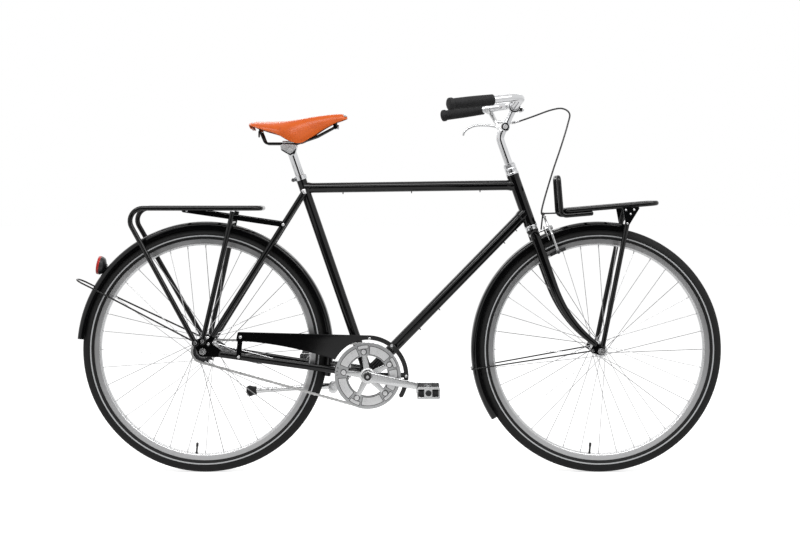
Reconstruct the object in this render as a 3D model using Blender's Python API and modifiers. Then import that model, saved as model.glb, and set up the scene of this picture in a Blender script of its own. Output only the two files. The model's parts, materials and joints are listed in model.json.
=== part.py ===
"""City bike with a rear and a front rack, in metres: +X forward, +Y left, +Z up, tyres on Z = 0.

Side-view places are (x, z) pairs with the rear axle at x = 0. Pieces of the steering use (s, r):
s up the steering axis from the foot of the head tube, r forward of that axis.
"""

import math

import bmesh
import bpy
from mathutils import Matrix, Vector, geometry

GAP = 0.0003

# Wheels
TYRE_RADIUS = 0.346
TYRE_WIDTH = 0.038
TYRE_HEIGHT = 0.033
TYRE_BEAD_ANGLE = math.radians(137)
RIM_HEIGHT = 0.019
RIM_WIDTH = 0.0235
RIM_WALL = 0.002
RIM_CHANNEL = 0.004
WHEEL_SIDES = 36
SPOKES = 36
SPOKE_DIAMETER = 0.002
SPOKE_CROSSINGS = 3
SPOKE_SET_OUT = 0.0017
FLANGE_THICKNESS = 0.003
FLANGE_EDGE = 0.003
FRONT_SPOKE_CIRCLE = 0.0175
FRONT_HUB_RADIUS = 0.012
FRONT_FLANGE_SPACING = 0.062
FRONT_HUB_LENGTH = 0.095
REAR_SPOKE_CIRCLE = 0.030
REAR_HUB_RADIUS = 0.024
REAR_FLANGE_SPACING = 0.056
REAR_HUB_LEFT = 0.043
REAR_HUB_RIGHT = 0.0385

# Axles and dropouts
FRONT_AXLE_RADIUS = 0.00475
REAR_AXLE_RADIUS = 0.005
FRONT_DROPOUT_SPACING = 0.1006
REAR_DROPOUT_SPACING = 0.1106
FRONT_DROPOUT_THICKNESS = 0.004
REAR_DROPOUT_THICKNESS = 0.005
CONE_RADIUS = 0.008
NUT_RADIUS = 0.009
NUT_LENGTH = 0.0075
AXLE_STUB = 0.005
BRAKE_CONE_RADIUS = 0.011
REAR_DROPOUT_RADIUS = 0.015
REAR_EYELET_RADIUS = 0.008
REAR_DROPOUT_REACH = 0.055
FRONT_DROPOUT_RADIUS = 0.012
FRONT_EYELET_RADIUS = 0.006
REACTION_ARM_REACH = 0.150
REACTION_ARM_DROP = 0.010
REACTION_ARM_RADIUS = 0.014
REACTION_ARM_THICKNESS = 0.003
REACTION_ARM_SPACE = 0.002

# Frame
CHAINSTAY_ROOM = 0.104
TOE_ROOM = 0.29085
BOTTOM_BRACKET_DROP = 0.069
SEAT_ANGLE = math.radians(71)
SEAT_TUBE_LENGTH = 0.5786
SEAT_TUBE_DIAMETER = 0.0286
SEAT_POST_DIAMETER = 0.0254
HEAD_ANGLE = math.radians(70.5)
HEAD_TUBE_LENGTH = 0.151
HEAD_TUBE_DIAMETER = 0.034
HEAD_TUBE_WALL = 0.002
TOP_TUBE_DIAMETER = 0.0286
TOP_TUBE_AT_HEAD = 0.120
DOWN_TUBE_DIAMETER = 0.0318
DOWN_TUBE_AT_HEAD = 0.039
TUBE_WALL = 0.0012
TUBE_SIDES = 16
SHELL_WIDTH = 0.068
SHELL_DIAMETER = 0.040
SHELL_WALL = 0.003
CHAINSTAY_HEIGHT = 0.019
CHAINSTAY_WIDTH = 0.013
CHAINSTAY_AT_SHELL = 0.027
CHAINSTAY_AT_TYRE = 0.0328
CHAINSTAY_START = 0.008
CHAINSTAY_TIGHT = 0.095
CHAINSTAY_END = 0.046
SEATSTAY_DIAMETER = 0.016
SEATSTAY_TOP = 0.546
TOP_TUBE_AT_SEAT = SEATSTAY_TOP + 0.009
SEATSTAY_FOOT = Vector((0.030, 0.045))
SEATSTAY_TAB = Vector((0.016, 0.022))
SEATSTAY_TAB_THICKNESS = 0.004
SEATSTAY_TAB_RADIUS = 0.0075
SEATSTAY_TAB_RUN = 0.012
BRIDGE_DIAMETER = 0.012
EYELET_REAR = Vector((-0.018, 0.026))
EYELET_FRONT = Vector((0.002, 0.0305))
COLLAR_HEIGHT = 0.014
COLLAR_WALL = 0.003
COLLAR_EAR = Vector((0.006, 0.002))
COLLAR_EAR_GAP = 0.004
COLLAR_EAR_RADIUS = 0.0055
COLLAR_EAR_WIDTH = 0.018

# Fork and headset
CROWN_TO_HEAD = 0.026144
CROWN_OVER_FENDER = 0.014
FORK_RAKE = 0.0642
STEERER_DIAMETER = 0.0254
QUILL_DIAMETER = 0.0222
STEERER_TOP = 0.029
CROWN_RADIUS = 0.012
CROWN_HALF_WIDTH = 0.046
BLADE_AT_CROWN = 0.0365
BLADE_DEPTH = 0.027
BLADE_SHARE_OF_WIDTH = 0.68
BLADE_TIP_SHARE = 0.6
BLADE_END = 0.016
BLADE_BEND_START = -0.165
BLADE_BEND_POWER = 2.35
CUP_HEIGHT = 0.0134
CUP_RADIUS = 0.0185
CUP_DEPTH = 0.010
CUP_TAPER = 0.001
LOCKNUT_HEIGHT = 0.0205
FRONT_EYELET = Vector((-0.0237, 0.002))

# Drive
CHAIN_PITCH = 0.0127
CHAINRING_TEETH = 44
SPROCKET_TEETH = 16
CHAINLINE = 0.045
TOOTH_THICKNESS = 0.0028
CHAIN_PLATE_HEIGHT = 0.0085
CHAIN_PLATE_THICKNESS = 0.0018
CHAIN_PIN_DIAMETER = 0.005
CHAIN_PIN_EVERY = 5
CHAINRING_HOLE = 0.056
SPIDER_RADIUS = 0.071
SPIDER_HUB_RADIUS = 0.027
SPIDER_ARM_WIDTH = 0.016
SPIDER_THICKNESS = 0.004
SPINDLE_RADIUS = 0.0085
CRANK_LENGTH = 0.170
CRANK_ANGLE = math.radians(-10.5)
CRANK_INNER_FACE = 0.0605
CRANK_THICKNESS = 0.013
CRANK_ROOT = 0.016
CRANK_TIP = 0.0125
CRANK_BOSS_START = 0.0468
CRANK_BOSS_RADIUS = 0.0144
CRANK_BOSS_RISE = 0.002
DRIVER_RADIUS = 0.014
DRIVER_RISE = 0.004

# Pedals
PEDAL_SPINDLE_RADIUS = 0.005
PEDAL_START = 0.0785
PEDAL_LENGTH = 0.095
PEDAL_DEPTH = 0.064
PEDAL_HEIGHT = 0.033
PEDAL_PLATE_THICKNESS = 0.0025
PEDAL_BARREL_RADIUS = 0.0095
PEDAL_CORNER = 0.004
PEDAL_CAP = 0.005
TREAD_INSET = 0.0025

# Chain guard
GUARD_CLEARANCE = 0.0095
GUARD_STRIP = 0.0105
GUARD_THICKNESS = 0.0015
GUARD_INNER_FACE = 0.054
GUARD_REAR = 0.098
GUARD_REAR_HEIGHT = 0.023
GUARD_END_ANGLE = math.radians(-31)
GUARD_BACK_ANGLE = math.radians(153)
GUARD_BRACKET_WIDTH = 0.014
GUARD_BRACKET_THICKNESS = 0.002
GUARD_STRAP = 0.100
GUARD_ARCH = 0.009
GUARD_REAR_RAKE = 0.005
GUARD_COLLAR_REACH = 0.030
GUARD_RIVET = Vector((0.012, 0.010))
GUARD_RIVET_RADIUS = 0.0045

# Fenders
FENDER_CLEARANCE = 0.0145
FENDER_WIDTH = 0.048
FENDER_SKIRT = 0.019
FENDER_SHEET = 0.0015
FENDER_SHOULDER = 0.008
FENDER_CROWN = 0.0025
FENDER_STEP = 10
REAR_FENDER_ENDS = (math.radians(-12), math.radians(175))
FRONT_FENDER_ENDS = (math.radians(77.6), math.radians(213))
STAY_WIRE = 0.004
STAY_PAST_SKIRT = 0.006
REAR_STAY_LEAN = math.radians(26.4)
REAR_STAY_REACH = 0.045
REAR_STAY_BEND = 0.024
REAR_STAY_HALF_WIDTH = 0.070
FRONT_STAY_ANGLE = math.radians(188.6)
FRONT_STAY_BEND = 0.006
FRONT_STAY_RUN = 0.012

# Reflector
REFLECTOR_ANGLE = math.radians(140)
REFLECTOR_TILT = math.radians(9.5)
REFLECTOR_RADIUS = 0.026
REFLECTOR_DEPTH = 0.019
REFLECTOR_FOOT = 0.007
LENS_THICKNESS = 0.008

# Rear rack
RACK_CLEARANCE = 0.053
RACK_TUBE = 0.014
RACK_LENGTH = 0.387
RACK_HALF_WIDTH = 0.0525
RACK_FOOT_WIDTH = 0.078
RACK_REAR_LEAN = math.radians(29.4)
RACK_FRONT_LEAN = math.radians(12.6)
RACK_BEND = 0.035
RACK_NOSE_BEND = 0.022
RACK_BAR = 0.010
RACK_BARS = 4
RACK_BOSS_RADIUS = 0.006
RACK_FOOT_RADIUS = 0.010
RACK_FOOT_THICKNESS = 0.006
RACK_BRACE_DROP = 0.0313
RACK_STAY_DEPTH = 0.014
RACK_STAY_THICKNESS = 0.003
RACK_STAY_DROP = 0.046

# Front rack
FRONT_RACK_CLEARANCE = 0.0455
FRONT_RACK_BACK = -0.102
FRONT_RACK_LENGTH = 0.260
FRONT_RACK_TILT = math.radians(4.9)
FRONT_RACK_HALF_WIDTH = 0.053
FRONT_RACK_BEND = 0.020
FRONT_RACK_BARS = 3
HOOP_TUBE = 0.013
HOOP_HEIGHT = 0.094
HOOP_RUN = 0.076
HOOP_LEAN = 0.008
HOOP_HALF_WIDTH = 0.046
HOOP_BEND = 0.014
STRUT_TUBE = 0.0137
STRUT_LEAN = math.radians(11.5)
STRUT_EYE_THICKNESS = 0.003
STRUT_EYE_RADIUS = 0.010
STRUT_BRACE_DROP = 0.0177
CROWN_ROD = 0.004
CROWN_ROD_BEND = 0.004
CROWN_ROD_REACH = 0.012
CROWN_ROD_KNEE = Vector((0.019, 0.044))

# Stem, handlebar and grips
STEM_INSERTION = 0.060
STEM_TOP = 0.262
STEM_NECK = 0.010
STEM_NECK_KNEE = Vector((0.004, 0.003))
KNUCKLE = Vector((0.2855, 0.0246))
KNUCKLE_RADIUS = 0.013
KNUCKLE_WIDTH = 0.030
STEM_ARM = 0.019
BAR_CLAMP = Vector((0.330, 0.0676))
CLAMP_RADIUS = 0.0165
CLAMP_WIDTH = 0.042
BAR_DIAMETER = 0.0222
BAR_STRAIGHT = 0.030
BAR_CORNER = Vector((0.0085, 0.175, 0.017))
BAR_BEND = 0.060
GRIP_BACK = Vector((-0.192, 0.265, -0.0093))
GRIP_LENGTH = 0.130
GRIP_DIAMETER = 0.031
GRIP_FLANGE = 0.035
GRIP_CAP = 0.004
GRIP_RIM = 0.008
GRIP_RIM_SLOPE = 0.002

# Front brake
PERCH_AHEAD = 0.017
PERCH_RING = 0.016
PERCH_WIDTH = 0.012
PERCH_ARM_LENGTH = 0.010
PERCH_ARM_DIAMETER = 0.014
PERCH_EAR = 0.003
PERCH_LAP = 0.004
BARREL_LENGTH = 0.012
BARREL_DIAMETER = 0.008
LEVER_PIVOT = Vector((-0.029, 0.200, -0.047))
LEVER_PIVOT_RADIUS = 0.0065
LEVER_THICKNESS = 0.009
LEVER_BEND = Vector((-0.085, 0.2132, -0.045))
LEVER_END = Vector((-0.136, 0.216, -0.070))
LEVER_BLADE_BEND = 0.05
CABLE_DIAMETER = 0.005
CABLE_PLAY = 0.0007
CABLE_STOP = Vector((0.022, 0.195, -0.032))
CABLE_STRAIGHT = 0.008
CABLE_END_STRAIGHT = 0.020
# The cable's places between the lever and the calliper, from the middle of the handlebar clamp.
CABLE_ROUTE = (
    Vector((0.072, 0.185, -0.016)),
    Vector((0.121, 0.160, 0.001)),
    Vector((0.152, 0.132, 0.004)),
    Vector((0.170, 0.108, -0.012)),
    Vector((0.163, 0.088, -0.043)),
    Vector((0.141, 0.062, -0.107)),
    Vector((0.109, 0.036, -0.195)),
)
CALLIPER_DROP = 0.0022
CALLIPER_REACH = 0.046
CALLIPER_BOLT_RADIUS = 0.003
CALLIPER_ARM = 0.0075
CALLIPER_BOSS_RADIUS = 0.009
CALLIPER_HEAD_RADIUS = 0.007
CALLIPER_HEAD_HEIGHT = 0.006
CALLIPER_SHOULDER = Vector((0.004, 0.014))
CALLIPER_ELBOW_DROP = 0.016
CALLIPER_WRIST_DROP = 0.046
CALLIPER_CLEARANCE = 0.0025
CALLIPER_BEND = 0.006
CALLIPER_STOP = Vector((0.036, 0.012))
CALLIPER_LIFT = Vector((0.018, 0.011))
CALLIPER_STOP_HEIGHT = 0.004
CALLIPER_STOP_RADIUS = 0.005
STUD_RADIUS = 0.0045
PAD_GAP = 0.0026
PAD_THICKNESS = 0.009
PAD_LENGTH = 0.048
PAD_HEIGHT = 0.009
PAD_BELOW_RIM_EDGE = 0.0125
PAD_BEHIND_AXLE = 0.019

# Kickstand
KICKSTAND_PIVOT_FROM_SHELL = Vector((-0.10065, 0.036, -0.043))
KICKSTAND_TILT = math.radians(22)
KICKSTAND_LEG = 0.016
KICKSTAND_FOOT_FROM_PIVOT = Vector((-0.2347, 0.024, -0.014))
KICKSTAND_BOSS = 0.013
KICKSTAND_BOSS_LENGTH = 0.015
KICKSTAND_PLATE_BEHIND_SHELL = 0.06335
KICKSTAND_PLATE_THICKNESS = 0.006
KICKSTAND_PLATE_LENGTH = 0.030
KICKSTAND_PLATE_WIDTH = 0.074
KICKSTAND_PLATE_SHIFT = 0.003
KICKSTAND_PLATE_SPACE = 0.0025
KICKSTAND_ARM = 0.012
KICKSTAND_ARM_RADIUS = 0.011
KICKSTAND_WEB = 0.0015
FOOT_COVER = 0.004
FOOT_LENGTH = 0.028
FOOT_RADIUS = 0.013

# Seat
POST_IN_TUBE = 0.110
POST_SHOWING = 0.0894
SEAT_HEAD_AT = SEAT_TUBE_LENGTH + POST_SHOWING
SEAT_HEAD_WIDTH = 0.056
SEAT_HEAD_HALF_LENGTH = 0.014
SEAT_HEAD_SHELF = 0.009
SEAT_HEAD_THROAT = 0.012
RAIL_DIAMETER = 0.007
RAIL_HALF_WIDTH = 0.0225
RAIL_LIFT = 0.018
RAIL_BACK = 0.006
RAIL_BEND = 0.012
RAIL_REAR = Vector((0.014, 0.030, 0.034))
RAIL_FLAT = 0.020
RAIL_RISE = Vector((0.080, 0.01575, 0.020))
RAIL_NOSE_HALF_WIDTH = 0.007
NOSE_BAR_HEIGHT = 0.047
NOSE_BAR_RADIUS = 0.006
NOSE_BAR_HALF_WIDTH = 0.012
NOSE_BAR_SHARE = 0.87
CANTLE_SHARE = 0.10
CANTLE_THICKNESS = 0.005
CANTLE_WIDTH = 0.090
CANTLE_FOOT = 0.028
SADDLE_SHEET = 0.004
SADDLE_LENGTH = 0.272
SADDLE_HALF_WIDTH = 0.082
SADDLE_HEIGHT = 0.0835
SADDLE_OVERHANG = 0.106
# Along the saddle, from back to nose: share of the length, share of the half width, and the crown's
# and the skirt edge's shares of the height over the rails.
SADDLE_STATIONS = (
    (0.00, 0.707, 0.683, 0.599),
    (0.03, 0.902, 0.725, 0.563),
    (0.15, 1.000, 0.743, 0.437),
    (0.30, 0.890, 0.754, 0.287),
    (0.42, 0.610, 0.790, 0.072),
    (0.52, 0.463, 0.838, 0.012),
    (0.62, 0.366, 0.898, 0.180),
    (0.75, 0.293, 0.958, 0.467),
    (0.88, 0.244, 1.000, 0.695),
    (0.96, 0.220, 0.994, 0.790),
    (1.00, 0.159, 0.910, 0.838),
)

# Side-view directions
UP_SEAT = Vector((-math.cos(SEAT_ANGLE), math.sin(SEAT_ANGLE)))
UP_HEAD = Vector((-math.cos(HEAD_ANGLE), math.sin(HEAD_ANGLE)))
AHEAD = Vector((math.sin(HEAD_ANGLE), math.cos(HEAD_ANGLE)))

# Side-view places
FENDER_RADIUS = TYRE_RADIUS + FENDER_CLEARANCE
CHAINSTAY_LENGTH = FENDER_RADIUS + CHAINSTAY_ROOM
CHAINSTAY_RUN = math.sqrt(CHAINSTAY_LENGTH**2 - BOTTOM_BRACKET_DROP**2)
WHEELBASE = CHAINSTAY_RUN + FENDER_RADIUS + TOE_ROOM
CROWN_HEIGHT = math.sqrt((FENDER_RADIUS + CROWN_OVER_FENDER) ** 2 - FORK_RAKE**2)
FORK_LENGTH = CROWN_HEIGHT + CROWN_TO_HEAD
REAR_AXLE = Vector((0, TYRE_RADIUS))
FRONT_AXLE = Vector((WHEELBASE, TYRE_RADIUS))
BOTTOM_BRACKET = REAR_AXLE + Vector((CHAINSTAY_RUN, -BOTTOM_BRACKET_DROP))
HEAD_FOOT = FRONT_AXLE - AHEAD * FORK_RAKE + UP_HEAD * FORK_LENGTH
SEAT_TOP = BOTTOM_BRACKET + UP_SEAT * SEAT_TUBE_LENGTH
RIM_OUTER = TYRE_RADIUS - TYRE_HEIGHT
RIM_INNER = RIM_OUTER - RIM_HEIGHT
STAY_LOOP_RADIUS = FENDER_RADIUS + REAR_STAY_REACH
REAR_END = -STAY_LOOP_RADIUS * math.cos(REAR_STAY_LEAN) - STAY_WIRE / 2
CENTRE_X = (REAR_END + WHEELBASE + TYRE_RADIUS) / 2
CHAIN_PLATE_OFFSET = TOOTH_THICKNESS / 2 + GAP + CHAIN_PLATE_THICKNESS / 2

# Finishes: base colour, roughness, metallic
GLOSS_BLACK = ((0.008, 0.008, 0.009), 0.12, 0.0)
MATT_BLACK = ((0.02, 0.02, 0.02), 0.7, 0.0)
RUBBER = ((0.018, 0.018, 0.019), 0.85, 0.0)
CHROME = ((0.80, 0.80, 0.81), 0.08, 1.0)
ALUMINIUM = ((0.62, 0.62, 0.63), 0.3, 1.0)
STEEL = ((0.50, 0.50, 0.50), 0.35, 1.0)
RED_LENS = ((0.45, 0.01, 0.01), 0.2, 0.0)
LEATHER = ((0.62, 0.17, 0.035), 0.45, 0.0)

ALONG_Y = Vector((0, 1, 0))
SIDES = (("right", -1), ("left", 1))


def at(place, y=0.0):
    """The world point of a side-view place."""
    return Vector((place.x - CENTRE_X, y, place.y))


def heading(direction):
    """The world direction of a side-view direction."""
    return Vector((direction.x, 0, direction.y))


def mirrored(points):
    """The same path on the other side of the bike, run backwards."""
    return [Vector((point.x, -point.y, point.z)) for point in reversed(points)]


def steer(s, r):
    return HEAD_FOOT + UP_HEAD * s + AHEAD * r


def steer_at(s, r, y=0.0):
    return at(steer(s, r), y)


def from_clamp(offset, side=1):
    """A world point given from the middle of the handlebar clamp."""
    clamp = steer_at(*BAR_CLAMP)
    return clamp + Vector((offset.x, offset.y * side, offset.z))


def polar(angle, radius):
    return Vector((math.cos(angle), math.sin(angle))) * radius


def arc(centre, radius, start, end, steps):
    return [centre + polar(start + (end - start) * i / steps, radius) for i in range(steps + 1)]


def around(circles, steps=10):
    """The outline of a band pulled tight round circles, each a centre and a radius."""
    dots = [centre + polar(math.tau * i / steps, radius) for centre, radius in circles for i in range(steps)]
    return [dots[i] for i in geometry.convex_hull_2d(dots)]


def rounded(corners, radius, steps=4, closed=False):
    """A path through corners, with each bend turned at this radius."""
    path = []
    for i, corner in enumerate(corners):
        if not closed and i in (0, len(corners) - 1):
            path.append(corner)
            continue
        before = (corners[i - 1] - corner).normalized()
        after = (corners[(i + 1) % len(corners)] - corner).normalized()
        half = before.angle(after) / 2
        centre = corner + (before + after).normalized() * radius / math.sin(half)
        start = corner + before * radius / math.tan(half) - centre
        end = corner + after * radius / math.tan(half) - centre
        for step in range(steps + 1):
            path.append(centre + start.slerp(end, step / steps).normalized() * radius)
    return path


def smooth(points, spacing):
    """Points about this far apart on a smooth curve through the given ones."""
    ends = [points[0] * 2 - points[1], *points, points[-1] * 2 - points[-2]]
    path = []
    for a, b, c, d in zip(ends, ends[1:], ends[2:], ends[3:]):
        steps = max(1, round((c - b).length / spacing))
        for step in range(steps):
            t = step / steps
            bend = (a * 2 - b * 5 + c * 4 - d) * t**2
            twist = (b * 3 - a - c * 3 + d) * t**3
            path.append((b * 2 + (c - a) * t + bend + twist) / 2)
    return [*path, points[-1]]


def put(name, data, matrix=None, group="city_bike"):
    obj = bpy.data.objects.new(name, data)
    if matrix:
        obj.matrix_world = matrix
    bpy.data.collections[group].objects.link(obj)
    return obj


def pointing(base, direction):
    """The placement that takes local Z to this direction from this base."""
    return Matrix.Translation(base) @ direction.to_track_quat("Z", "Y").to_matrix().to_4x4()


def rod(name, points, diameter, sides=12, shares=None, closed=False):
    """A round tube along points. shares gives each point's share of the diameter."""
    curve = bpy.data.curves.new(name, "CURVE")
    curve.dimensions = "3D"
    curve.bevel_depth = diameter / 2
    curve.bevel_resolution = sides // 2 - 2
    curve.use_fill_caps = True
    spline = curve.splines.new("POLY")
    spline.points.add(len(points) - 1)
    spline.use_cyclic_u = closed
    for i, point in enumerate(points):
        spline.points[i].co = (*point, 1)
        spline.points[i].radius = shares[i] if shares else 1
    return put(name, curve)


def plate(name, outlines, thickness, y):
    """A flat plate at this Y, from side-view outlines. The second and later ones are holes."""
    curve = bpy.data.curves.new(name, "CURVE")
    curve.dimensions = "2D"
    curve.fill_mode = "BOTH"
    curve.extrude = thickness / 2
    for outline in outlines:
        spline = curve.splines.new("POLY")
        spline.points.add(len(outline) - 1)
        spline.use_cyclic_u = True
        for point, place in zip(spline.points, outline):
            point.co = (place.x, place.y, 0, 1)
    matrix = Matrix.Translation((-CENTRE_X, y, 0)) @ Matrix.Rotation(math.pi / 2, 4, "X")
    return put(name, curve, matrix)


def turned(name, profile, base, direction=ALONG_Y, sides=16, ring=True):
    """A profile of (radius, height) turned round the direction. A ring's profile is closed."""
    mesh = bpy.data.meshes.new(name)
    edges = [(i, i + 1) for i in range(len(profile) - 1)]
    if ring:
        edges.append((len(profile) - 1, 0))
    mesh.from_pydata([(radius, 0, height) for radius, height in profile], edges, [])
    obj = put(name, mesh, pointing(base, direction))
    screw = obj.modifiers.new("turn", "SCREW")
    screw.steps = sides
    screw.render_steps = sides
    screw.use_merge_vertices = True
    screw.merge_threshold = 0.00001
    return obj


def pipe(name, start, end, diameter, wall, sides=TUBE_SIDES):
    length = (end - start).length
    outer = diameter / 2
    inner = outer - wall
    profile = [(inner, length), (outer, length), (outer, 0), (inner, 0)]
    return turned(name, profile, start, end - start, sides)


def bar(name, start, end, radius, sides=TUBE_SIDES):
    length = (end - start).length
    profile = [(0, length), (radius, length), (radius, 0), (0, 0)]
    return turned(name, profile, start, end - start, sides, ring=False)


def across(name, place, start, end, radius, sides=TUBE_SIDES):
    """A round bar along Y between two widths."""
    return bar(name, at(place, min(start, end)), at(place, max(start, end)), radius, sides)


def box(name, centre, size):
    mesh = bpy.data.meshes.new(name)
    cube = bmesh.new()
    bmesh.ops.create_cube(cube, size=1, matrix=Matrix.Diagonal((*size, 1)))
    cube.to_mesh(mesh)
    cube.free()
    return put(name, mesh, Matrix.Translation(centre))


def solid(obj):
    """Swaps an object for the mesh it makes, with a curve's caps welded on."""
    bpy.context.view_layer.update()
    graph = bpy.context.evaluated_depsgraph_get()
    mesh = bpy.data.meshes.new_from_object(obj.evaluated_get(graph))
    matrix = obj.matrix_world.copy()
    name = obj.name
    bpy.data.objects.remove(obj)
    shell = bmesh.new()
    shell.from_mesh(mesh)
    bmesh.ops.remove_doubles(shell, verts=shell.verts, dist=0.000001)
    bmesh.ops.recalc_face_normals(shell, faces=shell.faces)
    shell.to_mesh(mesh)
    shell.free()
    return put(name, mesh, matrix)


def boolean(body, others, operation):
    for other in others:
        tool = solid(other)
        tool.name = f"{body.name}_{operation.lower()}_{len(body.modifiers)}"
        tool.hide_render = True
        tool.display_type = "WIRE"
        bpy.data.collections["city_bike"].objects.unlink(tool)
        bpy.data.collections["cutters"].objects.link(tool)
        modifier = body.modifiers.new(operation.lower(), "BOOLEAN")
        modifier.operation = operation
        modifier.solver = "EXACT"
        modifier.object = tool
    return body


def join(pieces, cuts=()):
    """One body from pieces that overlap, less the cuts. It keeps the first piece's name."""
    body = solid(pieces[0])
    boolean(body, pieces[1:], "UNION")
    return boolean(body, cuts, "DIFFERENCE")


def narrow(obj, share):
    """Flattens a tube across the bike. Its points were spread by the same share."""
    body = solid(obj)
    body.data.transform(Matrix.Diagonal((1, share, 1, 1)))
    return body


def finish(obj, look, pivot=None):
    """Gives a piece its own material and hangs it on its body's pivot."""
    colour, roughness, metallic = look
    material = bpy.data.materials.new(obj.name)
    material.use_nodes = True
    shader = material.node_tree.nodes["Principled BSDF"]
    shader.inputs["Base Color"].default_value = (*colour, 1)
    shader.inputs["Roughness"].default_value = roughness
    shader.inputs["Metallic"].default_value = metallic
    obj.data.materials.clear()
    obj.data.materials.append(material)
    if obj.type == "MESH":
        obj.data.shade_smooth()
        obj.data.set_sharp_from_angle(angle=math.radians(35))
    if pivot:
        empty = bpy.data.objects[f"{pivot}_pivot"]
        obj.parent = empty
        obj.matrix_parent_inverse = empty.matrix_world.inverted()
    return obj


def add_pivot(name, point, parent=None):
    empty = put(f"{name}_pivot", None, Matrix.Translation(point))
    bpy.context.view_layer.update()
    if parent:
        holder = bpy.data.objects[f"{parent}_pivot"]
        empty.parent = holder
        empty.matrix_parent_inverse = holder.matrix_world.inverted()
    return empty


def meets(start, end, centre, radius):
    """The place on a line where it is this far from a centre, nearest to its end."""
    along = (end - start).normalized()
    foot = (centre - start).dot(along)
    off = (centre - start - along * foot).length
    return start + along * (foot + math.sqrt(radius**2 - off**2))


# Frame


def seat_axis(distance):
    return BOTTOM_BRACKET + UP_SEAT * distance


def shell_cutter():
    half = SHELL_WIDTH / 2 + GAP
    return across("shell_cut", BOTTOM_BRACKET, -half, half, SHELL_DIAMETER / 2 + GAP)


def seat_tube_cutter():
    return bar("seat_cut", at(seat_axis(0)), at(SEAT_TOP), SEAT_TUBE_DIAMETER / 2 + GAP)


def head_tube_cutter():
    return bar("head_cut", steer_at(0, 0), steer_at(HEAD_TUBE_LENGTH, 0), HEAD_TUBE_DIAMETER / 2 + GAP)


def main_tubes():
    foot = steer_at(0, 0)
    head_end = steer_at(HEAD_TUBE_LENGTH, 0)
    finish(pipe("head_tube", foot, head_end, HEAD_TUBE_DIAMETER, HEAD_TUBE_WALL), GLOSS_BLACK)
    seat_wall = (SEAT_TUBE_DIAMETER - SEAT_POST_DIAMETER) / 2 - GAP
    seat = pipe("seat_tube", at(seat_axis(0)), at(SEAT_TOP), SEAT_TUBE_DIAMETER, seat_wall)
    finish(join([seat], [shell_cutter()]), GLOSS_BLACK)
    start = at(seat_axis(TOP_TUBE_AT_SEAT))
    top = pipe("top_tube", start, steer_at(TOP_TUBE_AT_HEAD, 0), TOP_TUBE_DIAMETER, TUBE_WALL)
    finish(join([top], [seat_tube_cutter(), head_tube_cutter()]), GLOSS_BLACK)
    end = steer_at(DOWN_TUBE_AT_HEAD, 0)
    down = pipe("down_tube", at(BOTTOM_BRACKET), end, DOWN_TUBE_DIAMETER, TUBE_WALL)
    finish(join([down], [shell_cutter(), seat_tube_cutter(), head_tube_cutter()]), GLOSS_BLACK)
    right, left = (at(BOTTOM_BRACKET, side * SHELL_WIDTH / 2) for _, side in SIDES)
    finish(pipe("bottom_bracket_shell", right, left, SHELL_DIAMETER, SHELL_WALL), GLOSS_BLACK)


def bottom_bracket():
    half = SHELL_WIDTH / 2 + GUARD_BRACKET_THICKNESS + GAP
    outer = SHELL_DIAMETER / 2 - SHELL_WALL - GAP
    wall = outer - SPINDLE_RADIUS - GAP
    right, left = (at(BOTTOM_BRACKET, side * half) for _, side in SIDES)
    finish(pipe("bottom_bracket_cartridge", right, left, outer * 2, wall), STEEL)


def dropout_y():
    return (REAR_DROPOUT_SPACING + REAR_DROPOUT_THICKNESS) / 2


def chainstay_axis(x):
    """The place on the line from the rear axle to the bottom bracket."""
    return REAR_AXLE + (BOTTOM_BRACKET - REAR_AXLE) * (x / BOTTOM_BRACKET.x)


def chainstay_route():
    """Where the middle of a chainstay lies, as (x, y): at the shell, beside the tyre, at its end."""
    return (
        (BOTTOM_BRACKET.x - CHAINSTAY_START, CHAINSTAY_AT_SHELL),
        (BOTTOM_BRACKET.x - CHAINSTAY_TIGHT, CHAINSTAY_AT_TYRE),
        (CHAINSTAY_END, dropout_y()),
    )


def chainstay_width_at(x):
    """How far out the chainstay's middle lies at x, behind its tightest place."""
    _, (tight, near), (end, far) = chainstay_route()
    return near + (far - near) * (tight - x) / (tight - end)


def bridge_place(start, end):
    """Where a bridge bar rests on the fender."""
    line = end - start
    top = fender_top(math.atan2(line.y, line.x), REAR_FENDER_ENDS)
    return meets(start, end, REAR_AXLE, top + GAP + BRIDGE_DIAMETER / 2)


def chainstays():
    share = CHAINSTAY_WIDTH / CHAINSTAY_HEIGHT
    bridge = bridge_place(REAR_AXLE, BOTTOM_BRACKET)
    pieces = []
    for name, side in SIDES:
        points = [at(chainstay_axis(x), side * y / share) for x, y in chainstay_route()]
        pieces.append(narrow(rod(f"chainstay_{name}", points, CHAINSTAY_HEIGHT), share))
        outline = around(
            [
                (REAR_AXLE, REAR_DROPOUT_RADIUS),
                (REAR_AXLE + EYELET_REAR, REAR_EYELET_RADIUS),
                (REAR_AXLE + EYELET_FRONT, REAR_EYELET_RADIUS),
                (chainstay_axis(REAR_DROPOUT_REACH), REAR_EYELET_RADIUS),
            ]
        )
        hole = arc(REAR_AXLE, REAR_AXLE_RADIUS + GAP, 0, math.tau * 15 / 16, 15)
        pieces.append(plate(f"dropout_{name}", [outline, hole], REAR_DROPOUT_THICKNESS, side * dropout_y()))
    reach = CHAINSTAY_AT_TYRE
    pieces.append(across("chainstay_bridge", bridge, -reach, reach, BRIDGE_DIAMETER / 2, 12))
    stays = join(pieces, [shell_cutter()])
    stays.name = "chainstays"
    finish(stays, GLOSS_BLACK)


def seatstay_foot():
    return REAR_AXLE + SEATSTAY_FOOT


def seatstay_foot_y():
    return REAR_DROPOUT_SPACING / 2 + REAR_DROPOUT_THICKNESS + GAP + SEATSTAY_TAB_THICKNESS / 2


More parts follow.
